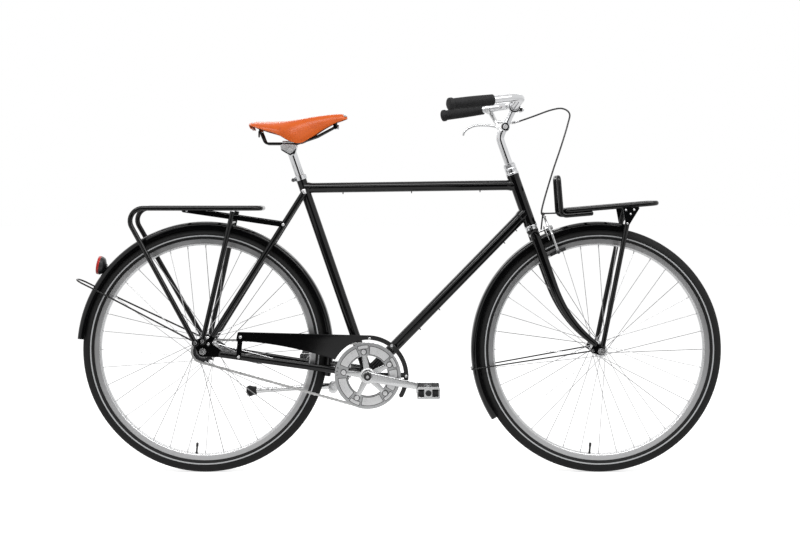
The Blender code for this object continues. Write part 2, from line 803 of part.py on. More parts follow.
def seatstay_top_y():
    return (SEAT_TUBE_DIAMETER + SEATSTAY_DIAMETER) / 2 + GAP


def seatstay_y_at(place):
    top = seat_axis(SEATSTAY_TOP)
    share = (place - seatstay_foot()).length / (top - seatstay_foot()).length
    return seatstay_foot_y() + (seatstay_top_y() - seatstay_foot_y()) * share


def seatstays():
    top = seat_axis(SEATSTAY_TOP)
    foot = seatstay_foot()
    along = (top - foot).normalized()
    bridge = bridge_place(foot, top)
    tab_ends = (foot + along * SEATSTAY_TAB_RUN, REAR_AXLE + SEATSTAY_TAB)
    tab = around([(end, SEATSTAY_TAB_RADIUS) for end in tab_ends])
    pieces = []
    for name, side in SIDES:
        foot_y = side * seatstay_foot_y()
        points = [at(foot, foot_y), at(top, side * seatstay_top_y())]
        pieces.append(rod(f"seatstay_{name}", points, SEATSTAY_DIAMETER))
        pieces.append(plate(f"seatstay_tab_{name}", [tab], SEATSTAY_TAB_THICKNESS, foot_y))
    reach = seatstay_y_at(bridge)
    pieces.append(across("seatstay_bridge", bridge, -reach, reach, BRIDGE_DIAMETER / 2, 12))
    stays = join(pieces)
    stays.name = "seatstays"
    finish(stays, GLOSS_BLACK)


def seat_collar():
    inner = SEAT_POST_DIAMETER / 2 + GAP
    outer = SEAT_TUBE_DIAMETER / 2 + COLLAR_WALL
    base = SEAT_TOP + UP_SEAT * GAP
    top = base + UP_SEAT * COLLAR_HEIGHT
    collar = pipe("seat_post_collar", at(base), at(top), outer * 2, outer - inner)
    backwards = Vector((-UP_SEAT.y, UP_SEAT.x))
    ear_at = (base + top) / 2 + backwards * (outer + COLLAR_EAR_GAP)
    ends = [(ear_at, COLLAR_EAR_RADIUS), (ear_at + COLLAR_EAR, COLLAR_EAR_RADIUS)]
    ear = plate("collar_ears", [around(ends)], COLLAR_EAR_WIDTH, 0)
    post = bar("collar_bore", at(SEAT_TOP - UP_SEAT * COLLAR_HEIGHT), at(seat_head()), inner)
    finish(join([collar, ear], [post]), CHROME)


def headset():
    bore = STEERER_DIAMETER / 2 + GAP
    sleeve = HEAD_TUBE_DIAMETER / 2 - HEAD_TUBE_WALL - GAP
    up = heading(UP_HEAD)
    lower = [
        (bore, CUP_DEPTH),
        (sleeve, CUP_DEPTH),
        (sleeve, -GAP),
        (CUP_RADIUS, -GAP),
        (CUP_RADIUS - CUP_TAPER, -CUP_HEIGHT),
        (bore, -CUP_HEIGHT),
    ]
    finish(turned("headset_lower_cup", lower, steer_at(0, 0), up), CHROME)
    top = HEAD_TUBE_LENGTH
    upper = [
        (bore, top + CUP_HEIGHT - GAP),
        (CUP_RADIUS - CUP_TAPER, top + CUP_HEIGHT - GAP),
        (CUP_RADIUS, top + GAP),
        (sleeve, top + GAP),
        (sleeve, top - CUP_DEPTH),
        (bore, top - CUP_DEPTH),
    ]
    finish(turned("headset_upper_cup", upper, steer_at(0, 0), up), CHROME)
    start = top + CUP_HEIGHT
    locknut = [
        (bore, start + LOCKNUT_HEIGHT),
        (CUP_RADIUS - CUP_TAPER * 3, start + LOCKNUT_HEIGHT),
        (CUP_RADIUS - CUP_TAPER * 2, start + LOCKNUT_HEIGHT / 2),
        (CUP_RADIUS - CUP_TAPER, start),
        (bore, start),
    ]
    finish(turned("headset_locknut", locknut, steer_at(0, 0), up), CHROME, "steering")


# Wheels


def wheel(which, axle, pivot):
    middle = at(axle)
    half_width = TYRE_WIDTH / 2
    height = TYRE_HEIGHT / (1 - math.cos(TYRE_BEAD_ANGLE))
    channel = RIM_WIDTH / 2 - RIM_WALL
    floor = RIM_OUTER - RIM_CHANNEL
    tread = []
    steps = 8
    for i in range(steps + 1):
        angle = TYRE_BEAD_ANGLE * (1 - i * 2 / steps)
        radius = TYRE_RADIUS - height * (1 - math.cos(angle))
        tread.append((radius + (GAP if i in (0, steps) else 0), half_width * math.sin(angle)))
    bead = channel - GAP
    foot = floor + GAP
    tyre = [(foot, bead), (RIM_OUTER + GAP, bead), *tread, (RIM_OUTER + GAP, -bead), (foot, -bead)]
    finish(turned(f"{which}_tyre", tyre, middle, sides=WHEEL_SIDES), RUBBER, pivot)
    half = RIM_WIDTH / 2
    slope = RIM_INNER + RIM_HEIGHT * 0.2
    wall = [(RIM_INNER, half / 2), (slope, half), (RIM_OUTER, half), (RIM_OUTER, channel), (floor, channel)]
    rim = wall + [(radius, -y) for radius, y in reversed(wall)]
    finish(turned(f"{which}_rim", rim, middle, sides=WHEEL_SIDES), ALUMINIUM, pivot)


def spoke_set(name, axle, circle, heights):
    """Every spoke of one wheel, crossed in threes, as one mesh for joining to its hub."""
    end_radius = RIM_INNER - 2 * GAP
    wires = bmesh.new()
    for side, height in enumerate(heights):
        for i in range(SPOKES // 2):
            lean = 1 if i % 2 else -1
            hub_angle = math.tau * (2 * i + side) / SPOKES
            rim_angle = hub_angle + lean * SPOKE_CROSSINGS * math.tau * 2 / SPOKES
            start = at(axle + polar(hub_angle, circle), height + lean * SPOKE_SET_OUT)
            end = at(axle + polar(rim_angle, end_radius))
            placed = pointing((start + end) / 2, end - start)
            radius = SPOKE_DIAMETER / 2
            bmesh.ops.create_cone(
                wires,
                cap_ends=True,
                segments=3,
                radius1=radius,
                radius2=radius,
                depth=(end - start).length,
                matrix=placed,
            )
    mesh = bpy.data.meshes.new(name)
    wires.to_mesh(mesh)
    wires.free()
    return put(name, mesh)


def hub(which, axle, bore, body, circle, spacing, left, right, pivot):
    flange = circle + FLANGE_EDGE
    inner = spacing / 2 - FLANGE_THICKNESS / 2
    outer = spacing / 2 + FLANGE_THICKNESS / 2
    cap = body * 0.85
    profile = [
        (bore, left),
        (cap, left),
        (cap, outer),
        (flange, outer),
        (flange, inner),
        (body, inner),
        (body, -inner),
        (flange, -inner),
        (flange, -outer),
        (cap, -outer),
        (cap, -right),
        (bore, -right),
    ]
    shell = turned(f"{which}_hub_and_spokes", profile, at(axle))
    spokes = spoke_set(f"{which}_spokes", axle, circle, (spacing / 2, -spacing / 2))
    finish(join([shell, spokes]), STEEL, pivot)


def hubs():
    half = FRONT_HUB_LENGTH / 2
    hub(
        "front",
        FRONT_AXLE,
        FRONT_AXLE_RADIUS + GAP,
        FRONT_HUB_RADIUS,
        FRONT_SPOKE_CIRCLE,
        FRONT_FLANGE_SPACING,
        half,
        half,
        "front_wheel",
    )
    hub(
        "rear",
        REAR_AXLE,
        REAR_AXLE_RADIUS + GAP,
        REAR_HUB_RADIUS,
        REAR_SPOKE_CIRCLE,
        REAR_FLANGE_SPACING,
        REAR_HUB_LEFT,
        REAR_HUB_RIGHT,
        "rear_wheel",
    )


def axle_half(radius, cone_start, cone, spacing, stack):
    """One side of an axle from its middle out: bare, cone, dropout, nut, stub."""
    nut = spacing / 2 + stack + GAP
    return [
        (radius, cone_start),
        (cone, cone_start),
        (cone, spacing / 2 - GAP),
        (radius, spacing / 2 - GAP),
        (radius, nut),
        (NUT_RADIUS, nut),
        (NUT_RADIUS, nut + NUT_LENGTH),
        (radius, nut + NUT_LENGTH),
        (radius, nut + NUT_LENGTH + AXLE_STUB),
        (0, nut + NUT_LENGTH + AXLE_STUB),
    ]


def axle_profile(left, right):
    return [*reversed(left), *((radius, -y) for radius, y in right)]


def driver_end():
    """How far to the right the sprocket's carrier reaches."""
    return CHAINLINE + DRIVER_RISE


def axles():
    stack = FRONT_DROPOUT_THICKNESS + GAP + STRUT_EYE_THICKNESS
    start = FRONT_HUB_LENGTH / 2 + GAP
    half = axle_half(FRONT_AXLE_RADIUS, start, CONE_RADIUS, FRONT_DROPOUT_SPACING, stack)
    profile = axle_profile(half, half)
    finish(turned("front_axle", profile, at(FRONT_AXLE), sides=12, ring=False), STEEL, "steering")
    stack = REAR_DROPOUT_THICKNESS
    hub_end = REAR_HUB_LEFT + GAP
    left = axle_half(REAR_AXLE_RADIUS, hub_end, BRAKE_CONE_RADIUS, REAR_DROPOUT_SPACING, stack)
    right = axle_half(REAR_AXLE_RADIUS, driver_end() + GAP, CONE_RADIUS, REAR_DROPOUT_SPACING, stack)
    shaft = turned("rear_axle", axle_profile(left, right), at(REAR_AXLE), sides=12, ring=False)
    stay_bottom = chainstay_axis(REACTION_ARM_REACH) - Vector((0, CHAINSTAY_HEIGHT / 2))
    lug = stay_bottom - Vector((0, CONE_RADIUS + 2 * GAP))
    low = lug - Vector((0, REACTION_ARM_DROP))
    middle = hub_end + REACTION_ARM_SPACE + REACTION_ARM_THICKNESS / 2
    arm_shape = around([(REAR_AXLE, REACTION_ARM_RADIUS), (low, CONE_RADIUS)])
    arm = plate("reaction_arm", [arm_shape], REACTION_ARM_THICKNESS, middle)
    lug_shape = around([(lug, CONE_RADIUS), (low, CONE_RADIUS)])
    upright = plate("reaction_arm_lug", [lug_shape], REACTION_ARM_THICKNESS, middle)
    finish(join([shaft, arm, upright]), STEEL)


# Fenders, stays and reflector


def fender_steps(ends):
    return round(math.degrees(ends[1] - ends[0]) / FENDER_STEP)


def fender_top(angle, ends):
    """The radius of the fender's outer face at this angle, on the flat of its facet."""
    step = (ends[1] - ends[0]) / fender_steps(ends)
    off = (angle - ends[0]) % step - step / 2
    return FENDER_RADIUS * math.cos(step / 2) / math.cos(off) + FENDER_SHEET / 2


def fender(name, axle, ends, pivot=None):
    """A skirted fender: an open section turned part of a circle, then given its sheet."""
    half = FENDER_WIDTH / 2
    section = (
        (-FENDER_SKIRT, half),
        (-FENDER_SHOULDER, half),
        (-FENDER_CROWN, half * 0.8),
        (0, half * 0.4),
        (0, -half * 0.4),
        (-FENDER_CROWN, -half * 0.8),
        (-FENDER_SHOULDER, -half),
        (-FENDER_SKIRT, -half),
    )
    mesh = bpy.data.meshes.new(name)
    points = [(FENDER_RADIUS + dip, 0, y) for dip, y in section]
    mesh.from_pydata(points, [(i, i + 1) for i in range(len(section) - 1)], [])
    start, end = ends
    turn = Matrix.Rotation(-end, 4, "Y") @ Matrix.Rotation(-math.pi / 2, 4, "X")
    obj = put(name, mesh, Matrix.Translation(at(axle)) @ turn)
    screw = obj.modifiers.new("turn", "SCREW")
    screw.angle = end - start
    screw.steps = fender_steps(ends)
    screw.render_steps = screw.steps
    sheet = obj.modifiers.new("sheet", "SOLIDIFY")
    sheet.thickness = FENDER_SHEET
    sheet.offset = 0
    return finish(obj, GLOSS_BLACK, pivot)


def stay_line_y():
    return FENDER_WIDTH / 2 + FENDER_SHEET / 2 + GAP + STAY_WIRE / 2


def rear_fender_stay():
    away = Vector((-math.cos(REAR_STAY_LEAN), math.sin(REAR_STAY_LEAN)))
    bolt = REAR_AXLE + EYELET_REAR
    start = bolt + away * (RACK_BOSS_RADIUS + GAP)
    back = REAR_END + STAY_WIRE / 2
    end = start + away * ((back - start.x) / away.x)
    edge = meets(start, end, REAR_AXLE, FENDER_RADIUS - FENDER_SKIRT - STAY_PAST_SKIRT)
    near = stay_line_y()
    right = [at(start, -REAR_STAY_HALF_WIDTH), at(edge, -near), at(end, -near)]
    path = rounded([*right, *mirrored(right)], REAR_STAY_BEND, 3)
    finish(rod("rear_fender_stay", path, STAY_WIRE, 8), GLOSS_BLACK)


def front_fender_stay():
    end = FRONT_AXLE + polar(FRONT_STAY_ANGLE, FENDER_RADIUS + FENDER_SHEET / 2 + STAY_WIRE / 2 + GAP)
    start = FRONT_AXLE + FRONT_EYELET
    edge = meets(start, end, FRONT_AXLE, FENDER_RADIUS - FENDER_SKIRT - STAY_PAST_SKIRT)
    past = start + (end - start).normalized() * FRONT_STAY_RUN
    wide = front_dropout_y() + FRONT_DROPOUT_THICKNESS / 2 + GAP + STAY_WIRE / 2
    near = stay_line_y()
    right = [at(start, -wide), at(past, -wide), at(edge, -near), at(end, -near)]
    path = rounded([*right, *mirrored(right)], FRONT_STAY_BEND, 3)
    finish(rod("front_fender_stay", path, STAY_WIRE, 8), GLOSS_BLACK, "steering")


def reflector():
    out = Vector((-math.cos(REFLECTOR_TILT), math.sin(REFLECTOR_TILT)))
    lean = REFLECTOR_FOOT * math.sin(math.pi - REFLECTOR_ANGLE - REFLECTOR_TILT)
    base = REAR_AXLE + polar(REFLECTOR_ANGLE, fender_top(REFLECTOR_ANGLE, REAR_FENDER_ENDS) + lean + GAP)
    rim = REFLECTOR_RADIUS
    housing = [
        (0, REFLECTOR_DEPTH),
        (rim, REFLECTOR_DEPTH),
        (rim, REFLECTOR_DEPTH * 0.84),
        (rim * 0.85, REFLECTOR_DEPTH * 0.5),
        (REFLECTOR_FOOT, REFLECTOR_DEPTH * 0.1),
        (REFLECTOR_FOOT, 0),
        (0, 0),
    ]
    finish(turned("reflector_housing", housing, at(base), heading(out), ring=False), MATT_BLACK)
    start = at(base + out * (REFLECTOR_DEPTH + GAP))
    end = at(base + out * (REFLECTOR_DEPTH + GAP + LENS_THICKNESS))
    finish(bar("reflector_lens", start, end, rim), RED_LENS)


# Rear rack


def rack_height():
    return 2 * TYRE_RADIUS + RACK_CLEARANCE


def rack_rear_corner():
    foot = REAR_AXLE + EYELET_REAR
    rise = rack_height() - foot.y
    return Vector((foot.x - rise * math.tan(RACK_REAR_LEAN), rack_height()))


def rack_feet(name, place):
    """The flattened end and the boss of a leg on each side, at this eyelet."""
    inner = REAR_DROPOUT_SPACING / 2 + REAR_DROPOUT_THICKNESS + GAP
    near = RACK_FOOT_WIDTH - RACK_FOOT_THICKNESS / 2
    far = RACK_FOOT_WIDTH + RACK_FOOT_THICKNESS / 2
    feet = []
    for which, side in SIDES:
        feet.append(across(f"{name}_foot_{which}", place, side * near, side * far, RACK_FOOT_RADIUS, 12))
        reach = side * RACK_FOOT_WIDTH
        feet.append(across(f"{name}_boss_{which}", place, side * inner, reach, RACK_BOSS_RADIUS, 12))
    return feet


def rear_rack():
    corner = rack_rear_corner()
    nose = corner + Vector((RACK_LENGTH, 0))
    foot = REAR_AXLE + EYELET_REAR
    low = foot + (corner - foot).normalized() * RACK_TUBE / 2
    half = RACK_HALF_WIDTH
    leg_bend = rounded([at(low, -RACK_FOOT_WIDTH), at(corner, -half), at(nose, -half)], RACK_BEND)
    nose_bend = rounded([at(corner, -half), at(nose, -half), at(nose, half)], RACK_NOSE_BEND)
    right = [*leg_bend[:-1], *nose_bend[1:-1]]
    pieces = [rod("rear_rack", [*right, *mirrored(right)], RACK_TUBE, 10)]
    pieces += rack_feet("rack", foot)
    first = corner.x + RACK_BEND * 2.2
    step = (nose.x - first - RACK_NOSE_BEND) / (RACK_BARS - 1)
    for i in range(RACK_BARS):
        place = Vector((first + step * i, rack_height()))
        pieces.append(across(f"rack_bar_{i}", place, -half, half, RACK_BAR / 2, 6))
    top = seat_axis(SEATSTAY_TOP)
    share = (rack_height() - RACK_STAY_DROP - seatstay_foot().y) / (top.y - seatstay_foot().y)
    meet = seatstay_foot() + (top - seatstay_foot()) * share
    start = Vector((first + step, rack_height() - RACK_BAR / 2))
    widest = seatstay_y_at(meet - Vector((0, RACK_STAY_DEPTH)))
    stay_y = widest + SEATSTAY_DIAMETER / 2 + GAP + RACK_STAY_THICKNESS / 2
    outline = around([(start, RACK_STAY_DEPTH / 2), (meet, RACK_STAY_DEPTH / 2)])
    for name, side in SIDES:
        pieces.append(plate(f"rack_stay_{name}", [outline], RACK_STAY_THICKNESS, side * stay_y))
    finish(join(pieces), GLOSS_BLACK)


def rear_rack_front_legs():
    foot = REAR_AXLE + EYELET_FRONT
    under = rack_height() - RACK_TUBE / 2 - 2 * GAP
    top_z = under - RACK_TUBE / 2 * math.sin(RACK_FRONT_LEAN)
    rise = top_z - foot.y
    top = Vector((foot.x + rise * math.tan(RACK_FRONT_LEAN), top_z))
    low = foot + (top - foot).normalized() * RACK_TUBE / 2
    brace = top - (top - foot).normalized() * RACK_BRACE_DROP
    pieces = []
    for name, side in SIDES:
        points = [at(low, side * RACK_FOOT_WIDTH), at(top, side * RACK_HALF_WIDTH)]
        pieces.append(rod(f"rack_leg_{name}", points, RACK_TUBE))
    pieces += rack_feet("leg", foot)
    pieces.append(across("leg_brace", brace, -RACK_HALF_WIDTH, RACK_HALF_WIDTH, RACK_BAR / 2, 8))
    legs = join(pieces)
    legs.name = "rear_rack_front_legs"
    finish(legs, GLOSS_BLACK)


# Drive


def pitch_radius(teeth):
    return CHAIN_PITCH / (2 * math.sin(math.pi / teeth))


def tooth_outline(centre, teeth):
    pitch = pitch_radius(teeth)
    tip = pitch + CHAIN_PITCH * 0.3
    root = pitch - CHAIN_PITCH * 0.29
    outline = []
    for i in range(teeth):
        for share, radius in ((-0.27, root), (-0.07, tip), (0.07, tip), (0.27, root)):
            outline.append(centre + polar(math.tau * (i + share) / teeth, radius))
    return outline


def chain_loop(offset):
    """The chain's path at this distance outside its pitch line."""
    ring = pitch_radius(CHAINRING_TEETH)
    sprocket = pitch_radius(SPROCKET_TEETH)
    line = BOTTOM_BRACKET - REAR_AXLE
    heading = math.atan2(line.y, line.x)
    wrap = math.acos((sprocket - ring) / line.length)
    front = arc(BOTTOM_BRACKET, ring + offset, heading + wrap, heading - wrap, 18)
    back = arc(REAR_AXLE, sprocket + offset, heading - wrap, heading + wrap - math.tau, 10)
    return [*front, *back]


def chain():
    half = CHAIN_PLATE_HEIGHT / 2
    outlines = [chain_loop(half), chain_loop(-half)]
    pieces = []
    near = CHAINLINE - CHAIN_PLATE_OFFSET
    far = CHAINLINE + CHAIN_PLATE_OFFSET
    for name, y in (("outer", far), ("inner", near)):
        pieces.append(plate(f"chain_{name}", outlines, CHAIN_PLATE_THICKNESS, -y))
    path = chain_loop(0)
    runs = ((path[0], path[-1]), (path[18], path[19]))
    for run, (start, end) in enumerate(runs):
        links = int((end - start).length / CHAIN_PITCH / CHAIN_PIN_EVERY)
        for i in range(1, links):
            place = start + (end - start) * i / links
            pieces.append(across(f"chain_pin_{run}_{i}", place, -far, -near, CHAIN_PIN_DIAMETER / 2, 6))
    body = join(pieces)
    body.name = "chain"
    finish(body, STEEL)


def chainring():
    inner = arc(BOTTOM_BRACKET, CHAINRING_HOLE, 0, math.tau * 29 / 30, 29)
    outlines = [tooth_outline(BOTTOM_BRACKET, CHAINRING_TEETH), inner]
    finish(solid(plate("chainring", outlines, TOOTH_THICKNESS, -CHAINLINE)), ALUMINIUM, "crank")


def sprocket():
    teeth = plate("rear_sprocket", [tooth_outline(REAR_AXLE, SPROCKET_TEETH)], TOOTH_THICKNESS, -CHAINLINE)
    driver = across("driver", REAR_AXLE, -REAR_HUB_RIGHT - GAP, -driver_end(), DRIVER_RADIUS)
    bore = across("driver_bore", REAR_AXLE, 0, -driver_end() * 2, REAR_AXLE_RADIUS + GAP)
    finish(join([teeth, driver], [bore]), STEEL, "rear_driver")


def crank_tip(side):
    """The pedal's place: the right crank points forward, the left one back."""
    return BOTTOM_BRACKET + polar(CRANK_ANGLE, CRANK_LENGTH) * -side


def crank(name, side):
    tip = crank_tip(side)
    middle = side * (CRANK_INNER_FACE + CRANK_THICKNESS / 2)
    outer = CRANK_INNER_FACE + CRANK_THICKNESS
    shape = around([(BOTTOM_BRACKET, CRANK_ROOT), (tip, CRANK_TIP)])
    arm = plate(f"crank_{name}", [shape], CRANK_THICKNESS, middle)
    boss_start = side * CRANK_BOSS_START
    boss_end = side * (outer + CRANK_BOSS_RISE)
    boss = across(f"boss_{name}", BOTTOM_BRACKET, boss_start, boss_end, CRANK_BOSS_RADIUS)
    spindle_end = side * (PEDAL_START + PEDAL_LENGTH - PEDAL_CAP)
    spindle = across(f"pedal_spindle_{name}", tip, middle, spindle_end, PEDAL_SPINDLE_RADIUS, 12)
    return [arm, boss, spindle]


def cranks():
    right = crank("right", -1)
    outline = []
    for i in range(5):
        angle = CRANK_ANGLE + math.tau * (i + 0.5) / 5
        end = BOTTOM_BRACKET + polar(angle, SPIDER_RADIUS)
        side = polar(angle + math.pi / 2, SPIDER_ARM_WIDTH / 2)
        valley = BOTTOM_BRACKET + polar(angle + math.tau / 10, SPIDER_HUB_RADIUS)
        outline += [end - side, end + side, valley]
    spider_y = CHAINLINE + TOOTH_THICKNESS / 2 + GAP + SPIDER_THICKNESS / 2
    right.append(plate("spider", [outline], SPIDER_THICKNESS, -spider_y))
    socket_end = -CRANK_INNER_FACE - 2 * GAP
    socket = across("spindle_socket", BOTTOM_BRACKET, -CHAINLINE / 2, socket_end, SPINDLE_RADIUS + GAP)
    finish(join(right, [socket]), ALUMINIUM, "crank")
    left = crank("left", 1)
    reach = CRANK_INNER_FACE + GAP
    left.append(across("spindle", BOTTOM_BRACKET, -reach, reach, SPINDLE_RADIUS))
    finish(join(left), ALUMINIUM, "crank")


def pedal(name, side):
    tip = crank_tip(side)
    pivot = f"pedal_{name}"
    end = PEDAL_START + PEDAL_LENGTH
    inset = PEDAL_PLATE_THICKNESS
    corner = Vector((PEDAL_DEPTH / 2 - PEDAL_CORNER, PEDAL_HEIGHT / 2 - PEDAL_CORNER))
    corners = [(tip + Vector((corner.x * i, corner.y * j)), PEDAL_CORNER) for i in (-1, 1) for j in (-1, 1)]
    inner_y = PEDAL_START + inset
    outer_y = end - inset
    pieces = [across(f"pedal_{name}_cage", tip, side * PEDAL_START, side * end, PEDAL_BARREL_RADIUS)]
    for y in (inner_y, outer_y):
        pieces.append(plate(f"pedal_{name}_end", [around(corners, 8)], PEDAL_PLATE_THICKNESS, side * y))
    bore_end = side * (end - PEDAL_CAP + GAP)
    bore = across("pedal_bore", tip, 0, bore_end, PEDAL_SPINDLE_RADIUS + GAP, 12)
    cage = join(pieces, [bore])
    cage.name = f"pedal_{name}_cage"
    finish(cage, ALUMINIUM, pivot)
    start = inner_y + PEDAL_PLATE_THICKNESS / 2 + GAP
    stop = outer_y - PEDAL_PLATE_THICKNESS / 2 - GAP
    size = (PEDAL_DEPTH - TREAD_INSET * 2, stop - start, PEDAL_HEIGHT - TREAD_INSET * 2)
    tread = box(f"pedal_{name}_tread", at(tip, side * (start + stop) / 2), size)
    hole = across("tread_bore", tip, 0, side * end, PEDAL_BARREL_RADIUS + GAP)
    finish(join([tread], [hole]), RUBBER, pivot)


def chain_guard():
    """A plate along the chain's upper run and a strip round the chainring, with its two holders."""
    inner = pitch_radius(CHAINRING_TEETH) + CHAIN_PITCH * 0.3 + GUARD_CLEARANCE
    outer = inner + GUARD_STRIP
    up = math.radians(91.7)
    back = BOTTOM_BRACKET + polar(GUARD_BACK_ANGLE, inner)
    rear_top = Vector((GUARD_REAR, BOTTOM_BRACKET.y + outer + GUARD_REAR_HEIGHT * 0.41))
    rear_low = rear_top - Vector((GUARD_REAR_RAKE, GUARD_REAR_HEIGHT))
    outline = [
        rear_top,
        *arc(BOTTOM_BRACKET, outer, up, GUARD_END_ANGLE, 20),
        *arc(BOTTOM_BRACKET, inner, GUARD_END_ANGLE, GUARD_BACK_ANGLE, 20),
        back + (rear_low - back) * 0.36 + Vector((0, GUARD_ARCH)),
        back + (rear_low - back) * 0.72 + Vector((0, GUARD_ARCH)),
        rear_low,
    ]
    middle = GUARD_INNER_FACE + GUARD_THICKNESS / 2
    sheet = plate("chain_guard", [outline], GUARD_THICKNESS, -middle)
    post_at = BOTTOM_BRACKET + polar(0, (inner + outer) / 2)
    bracket_y = SHELL_WIDTH / 2 + GAP + GUARD_BRACKET_THICKNESS / 2
    half = GUARD_BRACKET_WIDTH / 2
    hole = arc(BOTTOM_BRACKET, SHELL_DIAMETER / 2 - SHELL_WALL, 0, math.tau * 15 / 16, 15)
    ring = [(BOTTOM_BRACKET, SHELL_DIAMETER / 2), (BOTTOM_BRACKET + polar(0, GUARD_COLLAR_REACH), half)]
    collar = plate("guard_collar", [around(ring, 16), hole], GUARD_BRACKET_THICKNESS, -bracket_y)
    reach = around([(BOTTOM_BRACKET + polar(0, GUARD_COLLAR_REACH * 0.95), half), (post_at, half)])
    arm = plate("guard_arm", [reach], GUARD_BRACKET_THICKNESS * 0.9, -bracket_y)
    post = across("guard_post", post_at, -bracket_y, -middle, GUARD_STRIP * 0.45, 12)
    stay = chainstay_axis(GUARD_STRAP)
    stay_side = chainstay_width_at(GUARD_STRAP) + CHAINSTAY_WIDTH / 2
    high = rear_low + GUARD_RIVET
    strap_y = stay_side + 2 * GAP + GUARD_THICKNESS / 2
    outline = around([(high, half), (stay, half)])
    strap = plate("guard_strap", [outline], GUARD_THICKNESS, -strap_y)
    rivet_end = -strap_y - GUARD_THICKNESS
    rivet = across("guard_rivet", high, -GUARD_INNER_FACE - GAP, rivet_end, GUARD_RIVET_RADIUS, 10)
    finish(join([sheet, post, arm, collar, strap, rivet]), GLOSS_BLACK)


# Kickstand


def kickstand_axis():
    """Turning by this axis swings the leg from back to down and out."""
    return Vector((0, -math.cos(KICKSTAND_TILT), -math.sin(KICKSTAND_TILT)))


def kickstand_pivot():
    return at(BOTTOM_BRACKET) + KICKSTAND_PIVOT_FROM_SHELL


def kickstand():
    pivot = kickstand_pivot()
    outward = -kickstand_axis()
    inner_face = pivot - outward * GAP
    place = Vector((pivot.x + CENTRE_X, pivot.z))
    space = CHAINSTAY_HEIGHT / 2 + KICKSTAND_PLATE_SPACE + GAP
    under = chainstay_axis(BOTTOM_BRACKET.x - KICKSTAND_PLATE_BEHIND_SHELL) - Vector((0, space))
    plate_middle = at(under - Vector((0, KICKSTAND_PLATE_THICKNESS / 2)), KICKSTAND_PLATE_SHIFT)
    size = (KICKSTAND_PLATE_LENGTH, KICKSTAND_PLATE_WIDTH, KICKSTAND_PLATE_THICKNESS)
    clamp = box("kickstand_bracket", plate_middle, size)
    arm_top = under - Vector((0, KICKSTAND_PLATE_THICKNESS * 1.5))
    arm_y = pivot.y - KICKSTAND_ARM
    shape = around([(arm_top, KICKSTAND_ARM_RADIUS), (place, KICKSTAND_ARM_RADIUS)])
    arm = plate("kickstand_arm", [shape], KICKSTAND_ARM, arm_y)
    boss = bar("kickstand_boss", inner_face - outward * KICKSTAND_BOSS_LENGTH, pivot, KICKSTAND_BOSS)
    face_end = pivot + outward * KICKSTAND_PLATE_WIDTH / 2
    ahead = bar("kickstand_face", inner_face, face_end, KICKSTAND_BOSS * 2)
    finish(join([clamp, arm, boss], [ahead]), ALUMINIUM)
    leg_boss = bar("kickstand_leg", pivot, pivot + outward * KICKSTAND_BOSS_LENGTH, KICKSTAND_BOSS)
    start = pivot + outward * (KICKSTAND_LEG / 2 + KICKSTAND_WEB)
    foot = pivot + KICKSTAND_FOOT_FROM_PIVOT
    along = (foot - start).normalized()
    end = foot + along * (FOOT_LENGTH / 2 - FOOT_COVER)
    leg = rod("kickstand_tube", [start, end], KICKSTAND_LEG)
    finish(join([leg_boss, leg]), ALUMINIUM, "kickstand")
    sleeve = KICKSTAND_LEG / 2 + GAP
    inside = (end - start).length - (foot - start).length + FOOT_LENGTH / 2
    profile = [
        (0, FOOT_LENGTH),
        (FOOT_RADIUS, FOOT_LENGTH),
        (FOOT_RADIUS * 1.25, FOOT_LENGTH * 0.7),
        (FOOT_RADIUS, FOOT_LENGTH * 0.4),
        (FOOT_RADIUS * 0.9, 0),
        (sleeve, 0),
        (sleeve, inside + GAP),
        (0, inside + GAP),
    ]
    cap = turned("kickstand_foot", profile, foot - along * FOOT_LENGTH / 2, along, ring=False)
    finish(cap, RUBBER, "kickstand")


# Fork, front rack


def crown_s():
    """The crown sits just over the fender where the fender passes under the steering axis."""
    lean = math.asin(FORK_RAKE / FENDER_RADIUS)
    radius = fender_top(math.pi - HEAD_ANGLE + lean, FRONT_FENDER_ENDS)
    return -FORK_LENGTH + math.sqrt((radius + CROWN_RADIUS + GAP) ** 2 - FORK_RAKE**2)


def front_dropout_y():
    return (FRONT_DROPOUT_SPACING + FRONT_DROPOUT_THICKNESS) / 2


def blade_path(side):
    start = crown_s()
    end = -FORK_LENGTH + BLADE_END
    places = [(start, 0.0), (BLADE_BEND_START * 0.6, 0.0)]
    steps = 7
    for i in range(steps + 1):
        share = i / steps
        s = BLADE_BEND_START + (end - BLADE_BEND_START) * share
        places.append((s, FORK_RAKE * 0.95 * share**BLADE_BEND_POWER))
    points = []
    shares = []
    for s, r in places:
        way = (start - s) / (start - end)
        y = BLADE_AT_CROWN + (front_dropout_y() - BLADE_AT_CROWN) * way
        points.append(steer_at(s, r, side * y / BLADE_SHARE_OF_WIDTH))
        shares.append(1 - (1 - BLADE_TIP_SHARE) * max(0, way - 0.25) / 0.75)
    return points, shares


